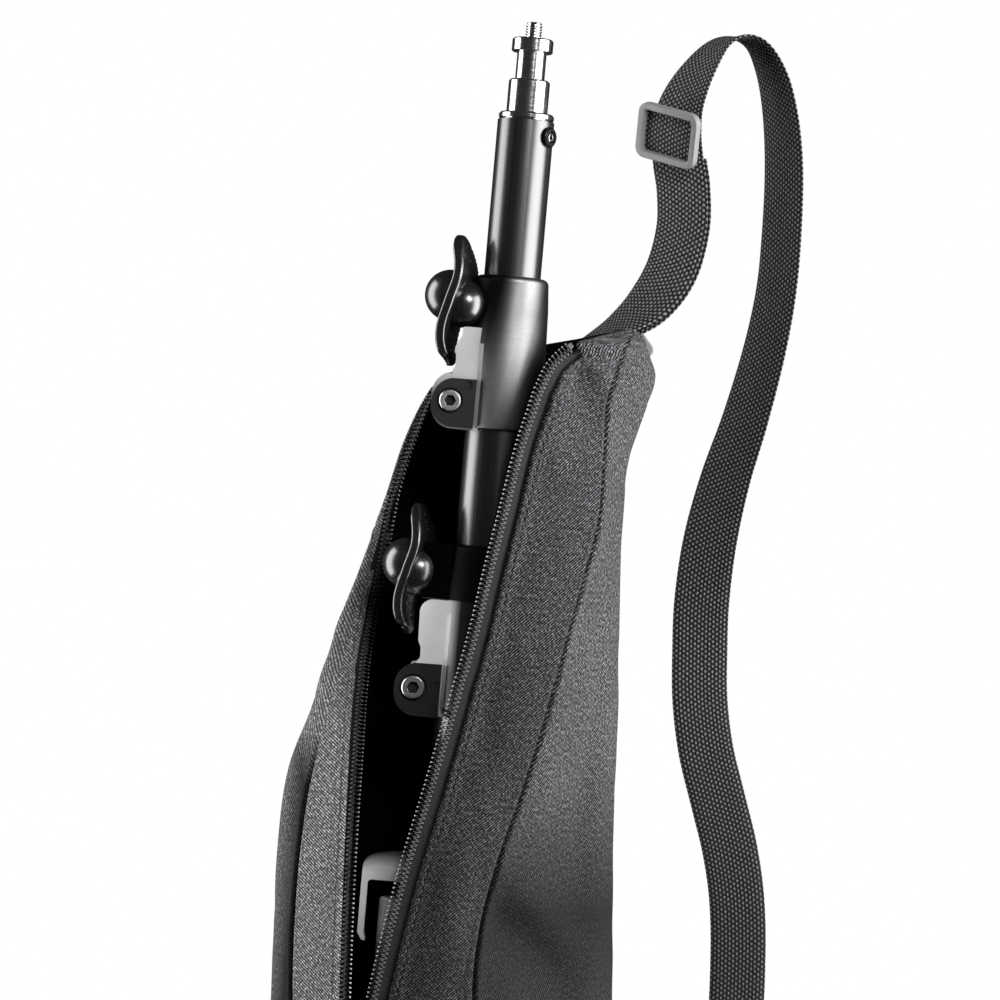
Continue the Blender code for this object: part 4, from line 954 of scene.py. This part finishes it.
def make_stitches(side):
    """The seam that holds the cloth's hem to the tape: one short stitch after another."""
    pitch, half, radius, spacing = 3.1, 1.1, 0.3, 0.55
    hem = HEM_LEFT if side == "left" else HEM_RIGHT
    stations = []
    for section in SECTIONS:
        if section.y < FINE_ROWS_Y:
            break
        across = (hem * slant(section, side)) * (closing(section) if side == "right" else 1.0) + STITCH_LINE
        length = across if side == "left" else section.total - across
        if side == "left" and length > section.marks[FLOOR_LEFT]:
            continue
        outward = section.outward(length)
        spot = section.point(length)
        rise = edge_rise("hem", STITCH_LINE) + cloth_height(spot) * calm(STITCH_LINE)
        stations.append((spot + outward * rise, outward))
    mesh_data = bmesh.new()
    frames = along_line(stations, spacing)
    per = round(pitch / spacing)
    count = round(2.0 * half / spacing)
    for start in range(0, len(frames) - per, per):
        path = [frames[start + step][0] + frames[start + step][1] * lift
                for step, lift in zip(range(count + 1), (-0.1, 0.16, 0.22, 0.16, -0.1))]
        radii = [radius * 0.6, radius, radius, radius, radius * 0.6]
        join(mesh_data, skin(sweep(path, radii, 6, [frames[start][1]] * len(path))))
    piece("hem_stitches_" + side, mesh_data, "hem_thread", BASE, angle=70.0)


# ---------------------------------------------------------------- the stand

TOP_R, MIDDLE_R, LOWER_R = 11.0, 13.0, 15.0
KNOB_DIP = math.radians(18.0)
KNOB_DROP = 10.6                 # below the collar's rim
OUTER_DOME = (10.0, 1.0, 1.4)    # radius, centre outwards and along the wing
UPPER_INNER_DOME = (9.1, -5.2, -1.6)
LOWER_INNER_DOME = (9.9, -2.6, -1.0)
DOME_SPLIT = -7.0                # the inner dome goes on as a fixed socket on the collar
WING_REACH = 29.6
LOWER_KNOB_DROP = 1.0            # the lower knob sits this much deeper in its collar
WING_THICKNESS = 3.9
WING_LINE = [
    # along the wing, outward offset, half width
    (24.9, -1.1, 1.3), (24.3, -1.2, 2.4), (22.8, -1.5, 4), (19, -2.6, 7.4),
    (14.2, -4, 9.2), (9.8, -4.5, 10.4), (5.5, -3.9, 11.2), (1.1, -2.7, 11.6),
    (-3.2, -1.5, 11.4), (-7.6, 0, 10.6), (-11.9, 1, 9.6), (-16.3, 1.2, 8.4),
    (-19.8, 0.6, 7), (-21.8, 0, 5.4), (-22.8, -0.3, 3.6), (-23.3, -0.5, 1.4),
]
SERRATION = 1.55
LUG_TOP = 11.7                   # above the stand's axis
PLATE_REACH = 9.6                # from the bolt to the clamp plate's straight edge
MIDDLE_END_Y, LOWER_END_Y = 357.2, 251.2
BUSH_SEAT = 6.4                  # above the tube's end
GAP = 0.3


def make_tubes():
    """The three sections and their end plugs."""
    wall, edge = 1.2, 0.35
    tubes = {
        "top_tube": ("mast_top", TOP_R, -330.0, 441.2),
        "middle_tube": ("mast_middle", MIDDLE_R, -380.0, MIDDLE_END_Y),
        "lower_tube": (BASE, LOWER_R, -430.0, LOWER_END_Y),
    }
    for name, (body, radius, low, high) in tubes.items():
        outline = [(radius - edge, low), (radius, low + edge), (radius, high - edge), (radius - edge, high),
                   (radius - wall, high), (radius - wall, low)]
        section = piece(name + "_shell", turned(outline), "tube", body, (name,), ALONG_STAND)
        if name == "top_tube":
            cut(section, rod(2.6, 6.0, 16.0), ALONG_STAND @ SCREW_PLACE)
    restyle("rubber", ("top_tube_plug", "middle_tube_plug", "lower_tube_cap"))


SCREW_DIRECTION = Vector((0.825, -0.565, 0.0)).normalized()
SCREW_PLACE = at(z=UPPER_RIM_Y + 54.7) @ SCREW_DIRECTION.to_track_quat("Z", "Y").to_matrix().to_4x4()


def by_place(target, inside):
    """Gives the faces whose centre, in millimetres, and normal pass the test the second material."""
    for face in target.data.polygons:
        if inside(face.center / MM, face.normal):
            face.material_index = 1


def make_spigot():
    """The lamp spigot, its threaded stud and the screw that pins it."""
    tip, head = 479.3, 473.0
    plug = 9.3
    outline = [
        (0.0, head - 78.0), (plug, head - 78.0), (plug, head - 31.4), (10.4, head - 31.4),
        (10.7, head - 31.1), (10.7, head - 29.8), (10.1, head - 29.1), (8.2, head - 29.1), (8.0, head - 28.9),
        (8.0, head - 16.8),
        (7.4, head - 16.1), (5.9, head - 16.0), (5.7, head - 15.8), (5.7, head - 5.6), (5.9, head - 5.4),
        (7.6, head - 5.3), (8.0, head - 4.9), (8.0, head - 0.7), (7.4, head - 0.1), (3.5, head),
    ]
    height = head + 0.5
    while height < tip - 1.0:
        outline += [(3.2, height), (3.2, height + 0.2), (2.62, height + 0.52), (2.62, height + 0.7)]
        height += 1.06
    outline += [(2.9, tip - 0.3), (2.6, tip), (0.0, tip)]
    piece("lamp_spigot", turned(outline, 128), "chrome", "mast_top", ("spigot",), ALONG_STAND)

    screw = [(0.0, 9.6), (2.2, 9.6), (2.2, 11.2), (3.9, 11.2), (3.9, 12.1), (3.4, 12.6), (2.3, 12.7),
             (2.1, 12.3), (2.1, 11.0), (0.0, 11.0)]
    piece("set_screw_rim", turned(screw, 48), "black_casting", "mast_top", ("spigot_set_screw",),
          ALONG_STAND @ SCREW_PLACE)
    socket = [(1.05, 11.1), (1.95, 11.1), (1.95, 12.3), (1.7, 12.5), (1.05, 12.5)]
    piece("set_screw_socket", turned(socket, 6), "chrome", "mast_top", (),
          ALONG_STAND @ SCREW_PLACE, angle=20.0, bevel=0.08)


def knob_matrix(centre, y):
    """Local Z points out along the knob's axis, local Y along the stand."""
    outward = Vector((-math.cos(KNOB_DIP), math.sin(KNOB_DIP), 0.0))
    along = UP
    across = along.cross(outward)
    turn = Matrix((across, along, outward)).transposed().to_4x4()
    return at(centre[0], -centre[1], y) @ turn


def dome(shape, low=None, high=None, steps=40):
    """A ball round the knob's axis, cut off below low or above high. The shape's third value, its shift along
    the wing, is not used here.
    """
    radius, centre, _ = shape
    points = []
    for step in range(steps + 1):
        height = radius * math.sin(math.pi * (step / steps - 0.5)) + centre
        height = max(height, low) if low is not None else height
        height = min(height, high) if high is not None else height
        points.append((math.sqrt(max(radius ** 2 - (height - centre) ** 2, 0.0)), height))
    outline = [(0.0, points[0][1])]
    for point in points[:-1] if high is None else points:
        if point[0] > 0.01 and math.dist(point, outline[-1]) > 0.01:
            outline.append(point)
    outline.append((0.0, points[-1][1]))
    return turned(outline, 96)


def wing_ring(along, out, width):
    """One section of the wing: rounded edges, and teeth along its far edge."""
    tip = min(WING_LINE[0][0] - along, along - WING_LINE[-1][0])
    half = WING_THICKNESS / 2.0 * (0.45 + 0.55 * math.sqrt(min(max(tip, 0.0) / 2.0, 1.0)))
    edge = min(0.9, 0.6 * half)
    tooth = 0.5 + 0.5 * math.cos(math.tau * along / SERRATION)
    toothed = width > 5.5 and abs(along) > 9.5
    far = width - 0.8 * tooth ** 0.6 * toothed
    slipped = along + 0.12 * min(along + 12.0, 0.0) * 1.8
    ring = [(-far, slipped, out - half + 0.5), (-far + 0.4, slipped, out - half)]
    for centre, start in ((out - half + edge, -90.0), (out + half - edge, 0.0)):
        for across, depth in arc((width - edge, centre), edge, start, start + 90.0, 3):
            ring.append((across, along, depth))
    return ring + [(-far + 0.4, slipped, out + half), (-far, slipped, out + half - 0.5)]


def make_knob(name, place, holder, inner):
    """A wing knob: two domes on a curved wing, the inner one carried on by a socket on the collar."""
    at_knob = ALONG_STAND @ place
    at_outer, at_inner = at_knob @ at(y=OUTER_DOME[2]), at_knob @ at(y=inner[2])
    grip = piece(name + "_wing", dome(OUTER_DOME), "knob", name, (name + "_grip",), at_outer)
    carve(grip, dome(inner, low=DOME_SPLIT), "UNION", at_inner)
    rings = []
    position = 0.0
    while position <= len(WING_LINE) - 1:
        rings.append(wing_ring(*smooth_point(WING_LINE, position)))
        position += 0.08
    carve(grip, skin(rings), "UNION", at_knob)
    for along in (21.0, 18.2, 15.4, -14.0, -16.8, -19.6):
        dot = turned([(0.0, -0.45), (0.6, -0.45), (0.85, 0.6), (0.0, 0.6)], 16)
        cut(grip, dot, at_knob @ at(0.4, along, wing_offset(along) - WING_THICKNESS / 2.0))
    socket = piece(name + "_socket", dome(inner, high=DOME_SPLIT - 0.15), "knob", holder,
                   (), at_inner)
    cut(socket, rod(11.4, -60.0, 60.0, 96), ALONG_STAND @ at(z=place.translation.z))
    insert = turned([(0.0, -7.6), (2.8, -7.6), (3.3, -7.0), (3.3, 0.7), (0.0, 0.7)], 32)
    piece(name + "_insert", insert, "chrome", name, (name + "_screw",), at_knob)


def wing_offset(along):
    """The wing's outward offset at a place along it."""
    for first, second in zip(WING_LINE, WING_LINE[1:]):
        if second[0] <= along <= first[0]:
            part = (first[0] - along) / (first[0] - second[0])
            return first[1] + (second[1] - first[1]) * part
    return 0.0


def lug_outline(bolt_x, bolt_z, right_x, size, inset=0.0, web_top=None, raised=0.0):
    """The rounded lug round a clamp bolt, seen along the bolt, with its web up to the knob."""
    left = bolt_x - 7.3 * size
    web_x = left + (6.6 if raised else 7.9)
    left += inset
    top = bolt_z + 9.3 * size - inset
    bottom = bolt_z - 10.6 * size + inset
    radius = 8.4 * size
    points = [(right_x, bottom)]
    if web_top is None:
        points.append((right_x, top))
    else:
        top += raised
        crown = 5.0
        points.append((right_x, web_top))
        points += arc((web_x + crown, web_top - crown), crown, 90.0, 180.0, 10)
        points.append((web_x + 0.3, top + 9.0))
        points.append((web_x + 1.5, top + 6.5))
        points += arc((web_x - 1.6, top + 3.2), 3.2, 0.0, -90.0, 10)
    if web_top is None or raised > 0.0:
        points += arc((left + radius, top - radius), radius, 100.0, 180.0, 16)
    points += arc((left + radius, bottom + radius), radius, 180.0, 270.0, 16)
    return points


def swap_depth(outline, low, high):
    """An outline in X and stand height, extruded through the depth between two heights above the axis."""
    return skin([[(x, -depth, along) for x, along in outline] for depth in (low, high)])


def make_collar(end, body, knob_place, rim, inner_r, outer_r, bore_r, seat_y, bolt, size, look, web_top,
                boss=None):
    """A clamping collar: casting with its lug, clamp plate, bolt and bush. end is its names' beginning."""
    bottom = rim - 59.5 * size
    outline = [(0.0, bottom), (outer_r - 1.0, bottom), (outer_r - 0.3, bottom + 0.3), (outer_r, bottom + 1.0),
               (outer_r, rim - 27.0), (outer_r - 0.5, rim - 12.0), (outer_r - 1.2, rim - 2.6)]
    outline += arc((outer_r - 3.6, rim - 2.4), 2.4, 0.0, 90.0, 8) + [(0.0, rim)]
    # The lower collar's flat faces take the lighter copy of the face look: painted light.
    casting = piece(end + "collar_casting", turned(outline, 128), look, body, (end + "collar",),
                    ALONG_STAND, extra=("lower_face" if boss else "face",))
    bolt_x, bolt_y = bolt
    plate_edge = bolt_x + PLATE_REACH * size
    lug = lug_outline(bolt_x, bolt_y, -8.0, size, 1.0 if boss else 0.0, rim - web_top, 0.0 if boss else 1.9)
    carve(casting, swap_depth(lug, -9.0, LUG_TOP), "UNION", ALONG_STAND)
    if boss:
        carve(casting, box(*boss), "UNION", ALONG_STAND @ knob_place)
    # Room for the wing at every turn of the knob
    sweep_cut = turned([(0.0, -7.2), (15.0, -7.2), (19.5, -5.0), (WING_REACH, -4.7), (WING_REACH, 26.0),
                        (0.0, 26.0)], 96)
    cut(casting, sweep_cut, ALONG_STAND @ knob_place @ at(z=-LOWER_KNOB_DROP if boss else 0.0))
    bore = [(0.0, bottom - 5.0), (bore_r + GAP, bottom - 5.0), (bore_r + GAP, seat_y),
            (inner_r + GAP, seat_y), (inner_r + GAP, rim + 5.0), (0.0, rim + 5.0)]
    cut(casting, turned(bore, 96), ALONG_STAND)
    bolt_place = ALONG_STAND @ at(bolt_x, 0.0, bolt_y) @ Matrix.Rotation(math.radians(90.0), 4, "X")
    cut(casting, rod(2.8, -30.0, 30.0), bolt_place)
    face_z = AXIS_Z + LUG_TOP
    by_place(casting, lambda centre, normal: normal.z > 0.99 and abs(centre.z - face_z) < 0.05)
    by_place(casting, lambda centre, normal: normal.z > 0.5 and centre.y < rim - web_top
             and plate_edge - 1.0 < centre.x < plate_edge + 1.5)
    add_bevel(casting, 0.7, 3, 30.0)

    bush = [(inner_r + GAP, seat_y - 5.8), (bore_r, seat_y - 5.8), (bore_r, seat_y - GAP),
            (inner_r + GAP, seat_y - GAP)]
    make_clamp(end, body, bolt, size, plate_edge, bolt_place)
    piece(end + "liner", turned(bush), "plate", body, (end + "bush",), ALONG_STAND,
          bevel=0.2)
    restyle("chrome", (end + "clamp_nut",), 0.3)


def make_clamp(end, body, bolt, size, plate_edge, place):
    """The D shaped plate on a collar's lug, and the hex socket bolt through it."""
    low = LUG_TOP + GAP
    high = low + 2.2
    outline = lug_outline(*bolt, plate_edge, size, inset=0.5)
    plate = piece(end + "plate", swap_depth(outline, low, high), "plate", body,
                  (end + "clamp_plate",), ALONG_STAND)
    head_r, socket_r = 4.15 * size, 2.3 * size
    cut(plate, rod(2.8, -30.0, 30.0), place)
    cut(plate, rod(head_r + 0.8, high - 1.2, 30.0, 48), place)
    dimple = turned([(0.0, high - 0.6), (1.4, high - 0.6), (1.8, high + 1.0), (0.0, high + 1.0)], 24)
    spot = (6.6, 6.6) if size == 1.0 else (7.8, 1.2)
    cut(plate, dimple, place @ at(spot[0] * size, spot[1] * size))
    add_bevel(plate, 0.35, 3, 40.0)

    head_low = high - 0.9
    head_top = head_low + 2.2
    shank = [(0.0, -15.0), (2.4, -15.0), (2.4, head_low), (head_r, head_low), (head_r, head_top - 0.4),
             (head_r - 0.4, head_top), (0.0, head_top)]
    screw = piece(end + "bolt", turned(shank, 64), "satin", body, (end + "clamp_bolt",), place,
                  extra=("plate",))
    cut(screw, rod(socket_r, head_top - 1.7, 30.0, 6), place)
    # The socket's walls and floor take the black plate look: painted shade in the recess.
    middle = place.translation
    by_place(screw, lambda centre, normal: head_low + 0.3 < centre.z - AXIS_Z < head_top - 0.2
             and math.hypot(centre.x - middle.x, centre.y - middle.y) < socket_r)
    add_bevel(screw, 0.4, 3, 30.0)


def make_collars():
    """Both collars with their knobs; the lower one is a size larger."""
    upper_knob = knob_matrix((-22.2, 4.0), UPPER_RIM_Y - KNOB_DROP)
    make_collar("upper_", "mast_middle", upper_knob, UPPER_RIM_Y, TOP_R, 15.5, MIDDLE_R,
                MIDDLE_END_Y + BUSH_SEAT, (-19.7, UPPER_RIM_Y - 49.9), 1.0, "upper_casting", 21.0)
    make_knob("upper_knob", upper_knob, "mast_middle", UPPER_INNER_DOME)
    lower_knob = knob_matrix((-30.4, 1.0), LOWER_RIM_Y - KNOB_DROP)
    make_collar("lower_", BASE, lower_knob, LOWER_RIM_Y, MIDDLE_R, 18.0, LOWER_R,
                LOWER_END_Y + BUSH_SEAT, (-24.2, LOWER_RIM_Y - 56.2), 1.08, "lower_casting", 22.0,
                ((-5.0, -11.2, -19.0), (5.0, 10.5, -7.4)))
    make_knob("lower_knob", lower_knob @ at(z=-LOWER_KNOB_DROP), BASE, LOWER_INNER_DOME)


def make_legs():
    """Round legs with bright end plugs; the braces, feet and lower collars keep their CAD shapes."""
    radius, wall, pitch = 10.0, 1.2, 28.0
    low, high = -470.0, 135.2
    sleeve = 90.0                # the first leg's bright end sleeve starts here
    for number, angle in enumerate((135.0, 15.0, 255.0), start=1):
        place = ALONG_STAND @ Matrix.Rotation(-math.radians(angle), 4, "Z") @ at(pitch)
        end = sleeve - GAP if number == 1 else high
        outline = [(radius, low), (radius, end - 0.4), (radius - 0.4, end), (radius - wall, end),
                   (radius - wall, low)]
        piece("leg_tube_%d" % number, turned(outline, 64), "tube", BASE,
              ("leg_%d" % number,), place)
        inner = radius - wall - GAP
        skirt = sleeve if number == 1 else high + GAP
        plug = [(0.0, sleeve - 16.0), (inner, sleeve - 16.0), (inner, skirt), (radius, skirt),
                (radius, high + 3.2), (radius - 0.8, high + 4.0), (0.0, high + 4.0)]
        piece("leg_end_%d" % number, turned(plug, 64), "sleeve", BASE,
              ("leg_plug_%d" % number,), place)
    restyle("rubber", ("foot_1", "foot_2", "foot_3"), 0.6)
    restyle("satin", ("brace_1", "brace_2", "brace_3"), 0.4)
    restyle("casting", ("leg_collar", "brace_collar"), 0.4)


def make_leg_clip():
    """The grey U shaped yoke over the first leg's end; its crown rounds away from the flat face."""
    centre_x, half_width = -19.8, 17.2
    low, high = 21.0, 31.0       # above the stand's axis
    shoulder, foot = 151.0, 126.0
    finger = 2.4
    left, right = centre_x - half_width, centre_x + half_width
    inner = arc((left + finger + 1.5, shoulder - 6.2), 1.5, 180.0, 90.0, 6)
    inner += arc((right - finger - 1.5, shoulder - 6.2), 1.5, 90.0, 0.0, 6)
    hook_left = [(left + 1.6, foot - 2.6), (left + 3.2, foot - 3.0), (left + finger, foot)]
    hook_right = [(right - finger, foot), (right - 3.2, foot - 3.0), (right - 1.6, foot - 2.6)]
    rings = []
    for depth, crown in ((low, 6.2), (low + 2.2, 6.0), (low + 4.4, 5.2), (low + 6.6, 3.8), (low + 8.4, 2.0),
                         (high, 0.0)):
        outline = [(left, foot)] + hook_left + inner + hook_right + [(right, foot), (right, shoulder - 2.0)]
        for step in range(1, 32):
            angle = math.pi * step / 32.0
            bulge = math.sin(angle) ** 0.8
            outline.append((centre_x + half_width * math.cos(angle), shoulder + crown * bulge))
        outline.append((left, shoulder - 2.0))
        rings.append([(x, -depth, along) for x, along in outline])
    # The grey look's Y ramp paints shade over the crown.
    clip = piece("leg_yoke", skin(rings), "grey", BASE, ("leg_clip",), ALONG_STAND,
                 angle=40.0)
    add_bevel(clip, 0.5, 3, 50.0)


# ---------------------------------------------------------------- the strap

STRAP_WIDTH, STRAP_THICKNESS = 22.0, 1.6
STRAP_CLEARANCE = 0.2
STRAIGHT_STRAP = 28.0            # from this point of its line on it runs nearly straight
DOUBLED_SHIFT = -2.9
DOUBLED_END = 7.0                # counted in points of the strap's line
ADJUSTER_CENTRE = Vector((56.2, 443.0, 15.8))
PATCH_X = 50.2                   # the bag's seam that holds the sewn patch
STRAP_LINE = [
    # X, Y, tilt in degrees, lift off the ground
    (24, 352, 74, 1.4), (34, 359.5, 70, 1.4), (44, 367.5, 62, 1.4), (54.5, 377.5, 42, 2.3),
    (62, 391, 30, 2.6), (65, 408, 28, 2.7), (63.8, 423, 28, 3), (61.4, 433.5, 28, 3.8),
    (59.8, 444, 30, 3.8), (60.4, 455.5, 38, 3), (65.2, 468.5, 52, 1.6), (72.8, 480.4, 68, 0.4),
    (81, 484.2, 86, 0), (89, 480.8, 105, 0), (95.8, 469.6, 117, 0), (100.4, 453.8, 124, 0),
    (103.4, 434, 128.5, 0), (104.7, 410, 130.5, 0), (104.6, 386.5, 132, 0), (102, 362, 136, 0),
    (96.8, 334, 142, 0), (91.1, 309.6, 150, 0), (87.4, 285.3, 161, 0), (86.3, 261.3, 171, 0),
    (87.3, 241.3, 178, 0), (89.1, 221.5, 180, 0), (93.2, 201.8, 180, 0), (99.7, 182.4, 180, 0),
    (106.2, 163, 180, 0), (110.7, 143.4, 180, 0), (113.2, 120, 180, 0), (114.4, 85, 180, 0),
    (114, 0, 180, 0), (109, -110, 180, 0), (102, -230, 180, 0), (98, -340, 180, 0),
    (93, -440, 180, 0), (86, -520, 180, 0), (80, -585, 180, 0),
]


def strap_frame(position):
    """Centre, width direction and face normal of the strap at a position counted in points."""
    x, y, tilt, lift = smooth_point(STRAP_LINE, position)
    ahead = smooth_point(STRAP_LINE, min(position + 0.05, len(STRAP_LINE) - 1.0))
    behind = smooth_point(STRAP_LINE, max(position - 0.05, 0.0))
    run = Vector((ahead[0] - behind[0], ahead[1] - behind[1], 0.0)).normalized()
    side = run.cross(UP)
    angle = math.radians(tilt)
    width = side * math.cos(angle) + UP * math.sin(angle)
    normal = width.cross(run)
    rise = abs(math.sin(angle)) * STRAP_WIDTH / 2.0 + abs(math.cos(angle)) * STRAP_THICKNESS / 2.0
    return Vector((x, y, rise + STRAP_CLEARANCE + max(lift, 0.0))), width, normal


def make_band(name, end, shift, nodes):
    """A length of webbing with rounded edges from the strap's start. Returns it with its real length."""
    columns = 14
    half_w, half_t = STRAP_WIDTH / 2.0, STRAP_THICKNESS / 2.0
    outer, inner, places = [], [], []
    position, length = 0.0, 0.0
    previous = None
    while True:
        centre, width, normal = strap_frame(position)
        centre = centre + normal * shift
        if previous is not None:
            length += (centre - previous).length
        row, back = [], []
        for column in range(columns + 1):
            across = -1.0 + 2.0 * column / columns
            across = math.copysign(abs(across) ** 0.85, across)
            thick = half_t * (1.0 - abs(across) ** 10 * 0.75)
            row.append(centre + width * (across * half_w) + normal * thick)
            back.append(centre + width * (across * half_w) - normal * thick)
            places.append((across * half_w, length, 0.0))
        outer.append(row)
        inner.append(back)
        if position >= end:
            break
        previous = centre
        ahead = strap_frame(min(position + 0.02, end))[0]
        speed = max((ahead - strap_frame(position)[0]).length / 0.02, 1.0)
        position = min(position + (1.5 if position < STRAIGHT_STRAP else 6.0) / speed, end)
    return woven(name, outer, inner, places, "webbing", nodes), length


def frame_loop(half_w, half_l, bar, low, high, corner):
    """A rectangular frame with rounded corners, as rings round its outline."""
    rings = []
    for x_sign, y_sign, start in ((1, 1, 0.0), (-1, 1, 90.0), (-1, -1, 180.0), (1, -1, 270.0)):
        outer_centre = (x_sign * (half_w - corner), y_sign * (half_l - corner))
        inner_r = max(corner - bar, 0.6)
        inner_centre = (x_sign * (half_w - bar - inner_r), y_sign * (half_l - bar - inner_r))
        outside = arc(outer_centre, corner, start, start + 90.0, 8)
        inside = arc(inner_centre, inner_r, start, start + 90.0, 8)
        for out, inn in zip(outside, inside):
            rings.append([(*out, low), (*out, high), (*inn, high), (*inn, low)])
    return skin(rings, closed=True)


def adjuster_axes():
    """The adjuster's directions across the strap, along it and up."""
    across = Vector((22.98, -6.02, 15.5)).normalized()
    along = Vector((0.0, 21.18, 8.2))
    along = (along - across * along.dot(across)).normalized()
    return across, along, across.cross(along)


def make_fold():
    """The turn of webbing that fills the adjuster's window."""
    across, along, up = adjuster_axes()
    centre = ADJUSTER_CENTRE - up * 1.2
    outer, inner, places = [], [], []
    for row in range(17):
        v = -1.0 + row / 8.0
        line, back = [], []
        for column in range(19):
            u = -1.0 + column / 9.0
            lift = up * (0.9 * (1.0 - v * v) - 0.5 * u * u)
            spot = centre + across * (11.6 * u) + along * (9.6 * v) + lift
            line.append(spot)
            back.append(spot - up * 1.4)
            places.append((11.6 * u, 9.6 * v + 0.8 * u * u, 0.0))
        outer.append(line)
        inner.append(back)
    return woven("strap_fold", outer, inner, places, "webbing")


def make_strap():
    """The webbing, its doubled end, the adjuster, the top ring and the sewn bottom end."""
    last = len(STRAP_LINE) - 1.0
    band, length = make_band("carrying_strap", last, 0.0, ("shoulder_strap",))
    fold = make_fold()
    doubled, length = make_band("strap_second_layer", DOUBLED_END, DOUBLED_SHIFT, ("strap_doubled_end",))

    turn = Matrix(adjuster_axes()).transposed().to_4x4()
    adjuster = piece("adjuster_frame", frame_loop(14.2, 11.2, 2.9, -1.7, 1.7, 4.2), "buckle", BASE,
                     ("strap_adjuster",), at(*ADJUSTER_CENTRE) @ turn)
    add_bevel(adjuster, 0.7, 4, 40.0)
    ring = piece("top_ring", frame_loop(8.4, 4.6, 2.6, -1.4, 1.4, 2.9), "buckle", BASE,
                 ("strap_top_ring",), at(50.6, 361.5, 2.4) @ Matrix.Rotation(math.radians(-49.0), 4, "Z"))
    add_bevel(ring, 0.6, 3, 40.0)

    end_x, end_y = STRAP_LINE[-1][:2]
    half_width = STRAP_WIDTH / 2.0
    near = [Vector((end_x + side * half_width, end_y + 6.0, 0.0)) for side in (1.0, -1.0)]
    far = [Vector((PATCH_X, -608.8, 0.0)), Vector((PATCH_X, -587.0, 0.0))]
    outer, inner, places = [], [], []
    for row in range(13):
        part = row / 12.0
        start, end = near[0].lerp(far[0], part), near[1].lerp(far[1], part)
        lift = 1.8 * (1.0 - smooth_step(part, 0.1, 0.45))
        line = [start.lerp(end, column / 12.0) + Vector((0.0, 0.0, 2.0 + lift)) for column in range(13)]
        outer.append(line)
        inner.append([point - Vector((0.0, 0.0, 1.7)) for point in line])
        places.extend((point.x, point.y, 0.0) for point in line)
    woven("bottom_patch", outer, inner, places, "webbing", ("strap_bottom_patch",))


# ---------------------------------------------------------------- studio

def emitter(name):
    """A plain white glow."""
    made = bpy.data.materials.new(name)
    made.use_nodes = True
    tree = made.node_tree
    tree.nodes.clear()
    output = tree.nodes.new("ShaderNodeOutputMaterial")
    glow = tree.nodes.new("ShaderNodeEmission")
    glow.inputs["Color"].default_value = (1.0, 1.0, 1.0, 1.0)
    glow.inputs["Strength"].default_value = 1.0
    tree.links.new(glow.outputs[0], output.inputs[0])
    return made


def backdrop(name, mesh_data):
    """A white surround that only lies behind the object and doesn't light it."""
    made = piece(name, mesh_data, "grey", None)
    made.data.materials.clear()
    made.data.materials.append(emitter(name))
    made.visible_glossy = False
    made.visible_diffuse = False
    made.visible_shadow = False
    made.visible_transmission = False


def feather(tree):
    """Lets a panel's light fade towards its long edges, as a softbox does."""
    glow = tree.nodes["Emission"]
    place = tree.nodes.new("ShaderNodeNewGeometry")
    split = tree.nodes.new("ShaderNodeSeparateXYZ")
    tree.links.new(place.outputs["Parametric"], split.inputs[0])
    away = tree.nodes.new("ShaderNodeMath")
    away.operation = "PINGPONG"
    away.inputs[1].default_value = 0.5
    tree.links.new(split.outputs[1], away.inputs[0])
    fade = tree.nodes.new("ShaderNodeMapRange")
    fade.interpolation_type = "SMOOTHSTEP"
    fade.inputs["From Min"].default_value = 0.0
    fade.inputs["From Max"].default_value = 0.3
    tree.links.new(away.outputs[0], fade.inputs["Value"])
    tree.links.new(fade.outputs[0], glow.inputs["Strength"])


def make_studio():
    """A white table and backdrop, and soft panels round the object."""
    half = 2.5 / MM
    backdrop("studio_floor", box((-half, -half, -6.0), (half, half, -1.0)))
    ball = bmesh.new()
    bmesh.ops.create_uvsphere(ball, u_segments=48, v_segments=24, radius=9.0 / MM)
    backdrop("studio_backdrop", ball)

    world = bpy.data.worlds.new("studio")
    world.use_nodes = True
    background = world.node_tree.nodes["Background"]
    background.inputs["Color"].default_value = (1.0, 1.0, 1.0, 1.0)
    background.inputs["Strength"].default_value = WORLD
    bpy.context.scene.world = world
    for name, (centre, aim, width, height, power) in PANEL_LIGHTS.items():
        data = bpy.data.lights.new(name, "AREA")
        data.shape = "RECTANGLE"
        data.size = width
        data.size_y = height
        data.energy = power
        data.use_nodes = True
        feather(data.node_tree)
        light = bpy.data.objects.new(name, data)
        bpy.context.scene.collection.objects.link(light)
        light.location = centre
        direction = Vector(aim) - Vector(centre)
        light.rotation_euler = direction.to_track_quat("-Z", "Y").to_euler()
        light.visible_camera = False


WORLD = 0.025
PANEL_LIGHTS = {
    # centre, aimed at, width, height, watts; metres
    "panel_right": ((1.3, 0.3, 0.5), (0.0, 0.3, 0.05), 2.2, 1.9, 82.0),
    "panel_left": ((-1.35, 0.3, -0.1), (0.0, 0.3, 0.05), 2.2, 1.3, 36.0),
    "panel_top": ((0.45, 1.0, 1.25), (0.0, 0.35, 0.05), 0.5, 0.6, 16.0),
}


def make_camera():
    data = bpy.data.cameras.new("camera")
    data.sensor_width = 36.0
    data.lens = 130.03
    data.clip_start = 0.05
    data.clip_end = 50.0
    camera = bpy.data.objects.new("camera", data)
    bpy.context.scene.collection.objects.link(camera)
    camera.location = Vector((2.75, 293.9, 1441.0)) * MM
    camera.rotation_euler = (0.0, 0.0, math.radians(5.01))
    bpy.context.scene.camera = camera
    bpy.context.scene.view_settings.view_transform = "Standard"


# ---------------------------------------------------------------- assembly

make_studio()
make_camera()
make_tubes()
make_spigot()
make_collars()
make_legs()
make_leg_clip()
make_panels()
make_end_panel()
make_zip()
make_stitches("left")
make_stitches("right")
restyle("satin", ("zip_slider", "zip_pull_tab"), 0.35)
restyle("satin", ("zip_bottom_stop",), 0.4)
make_top_stops()
make_strap()
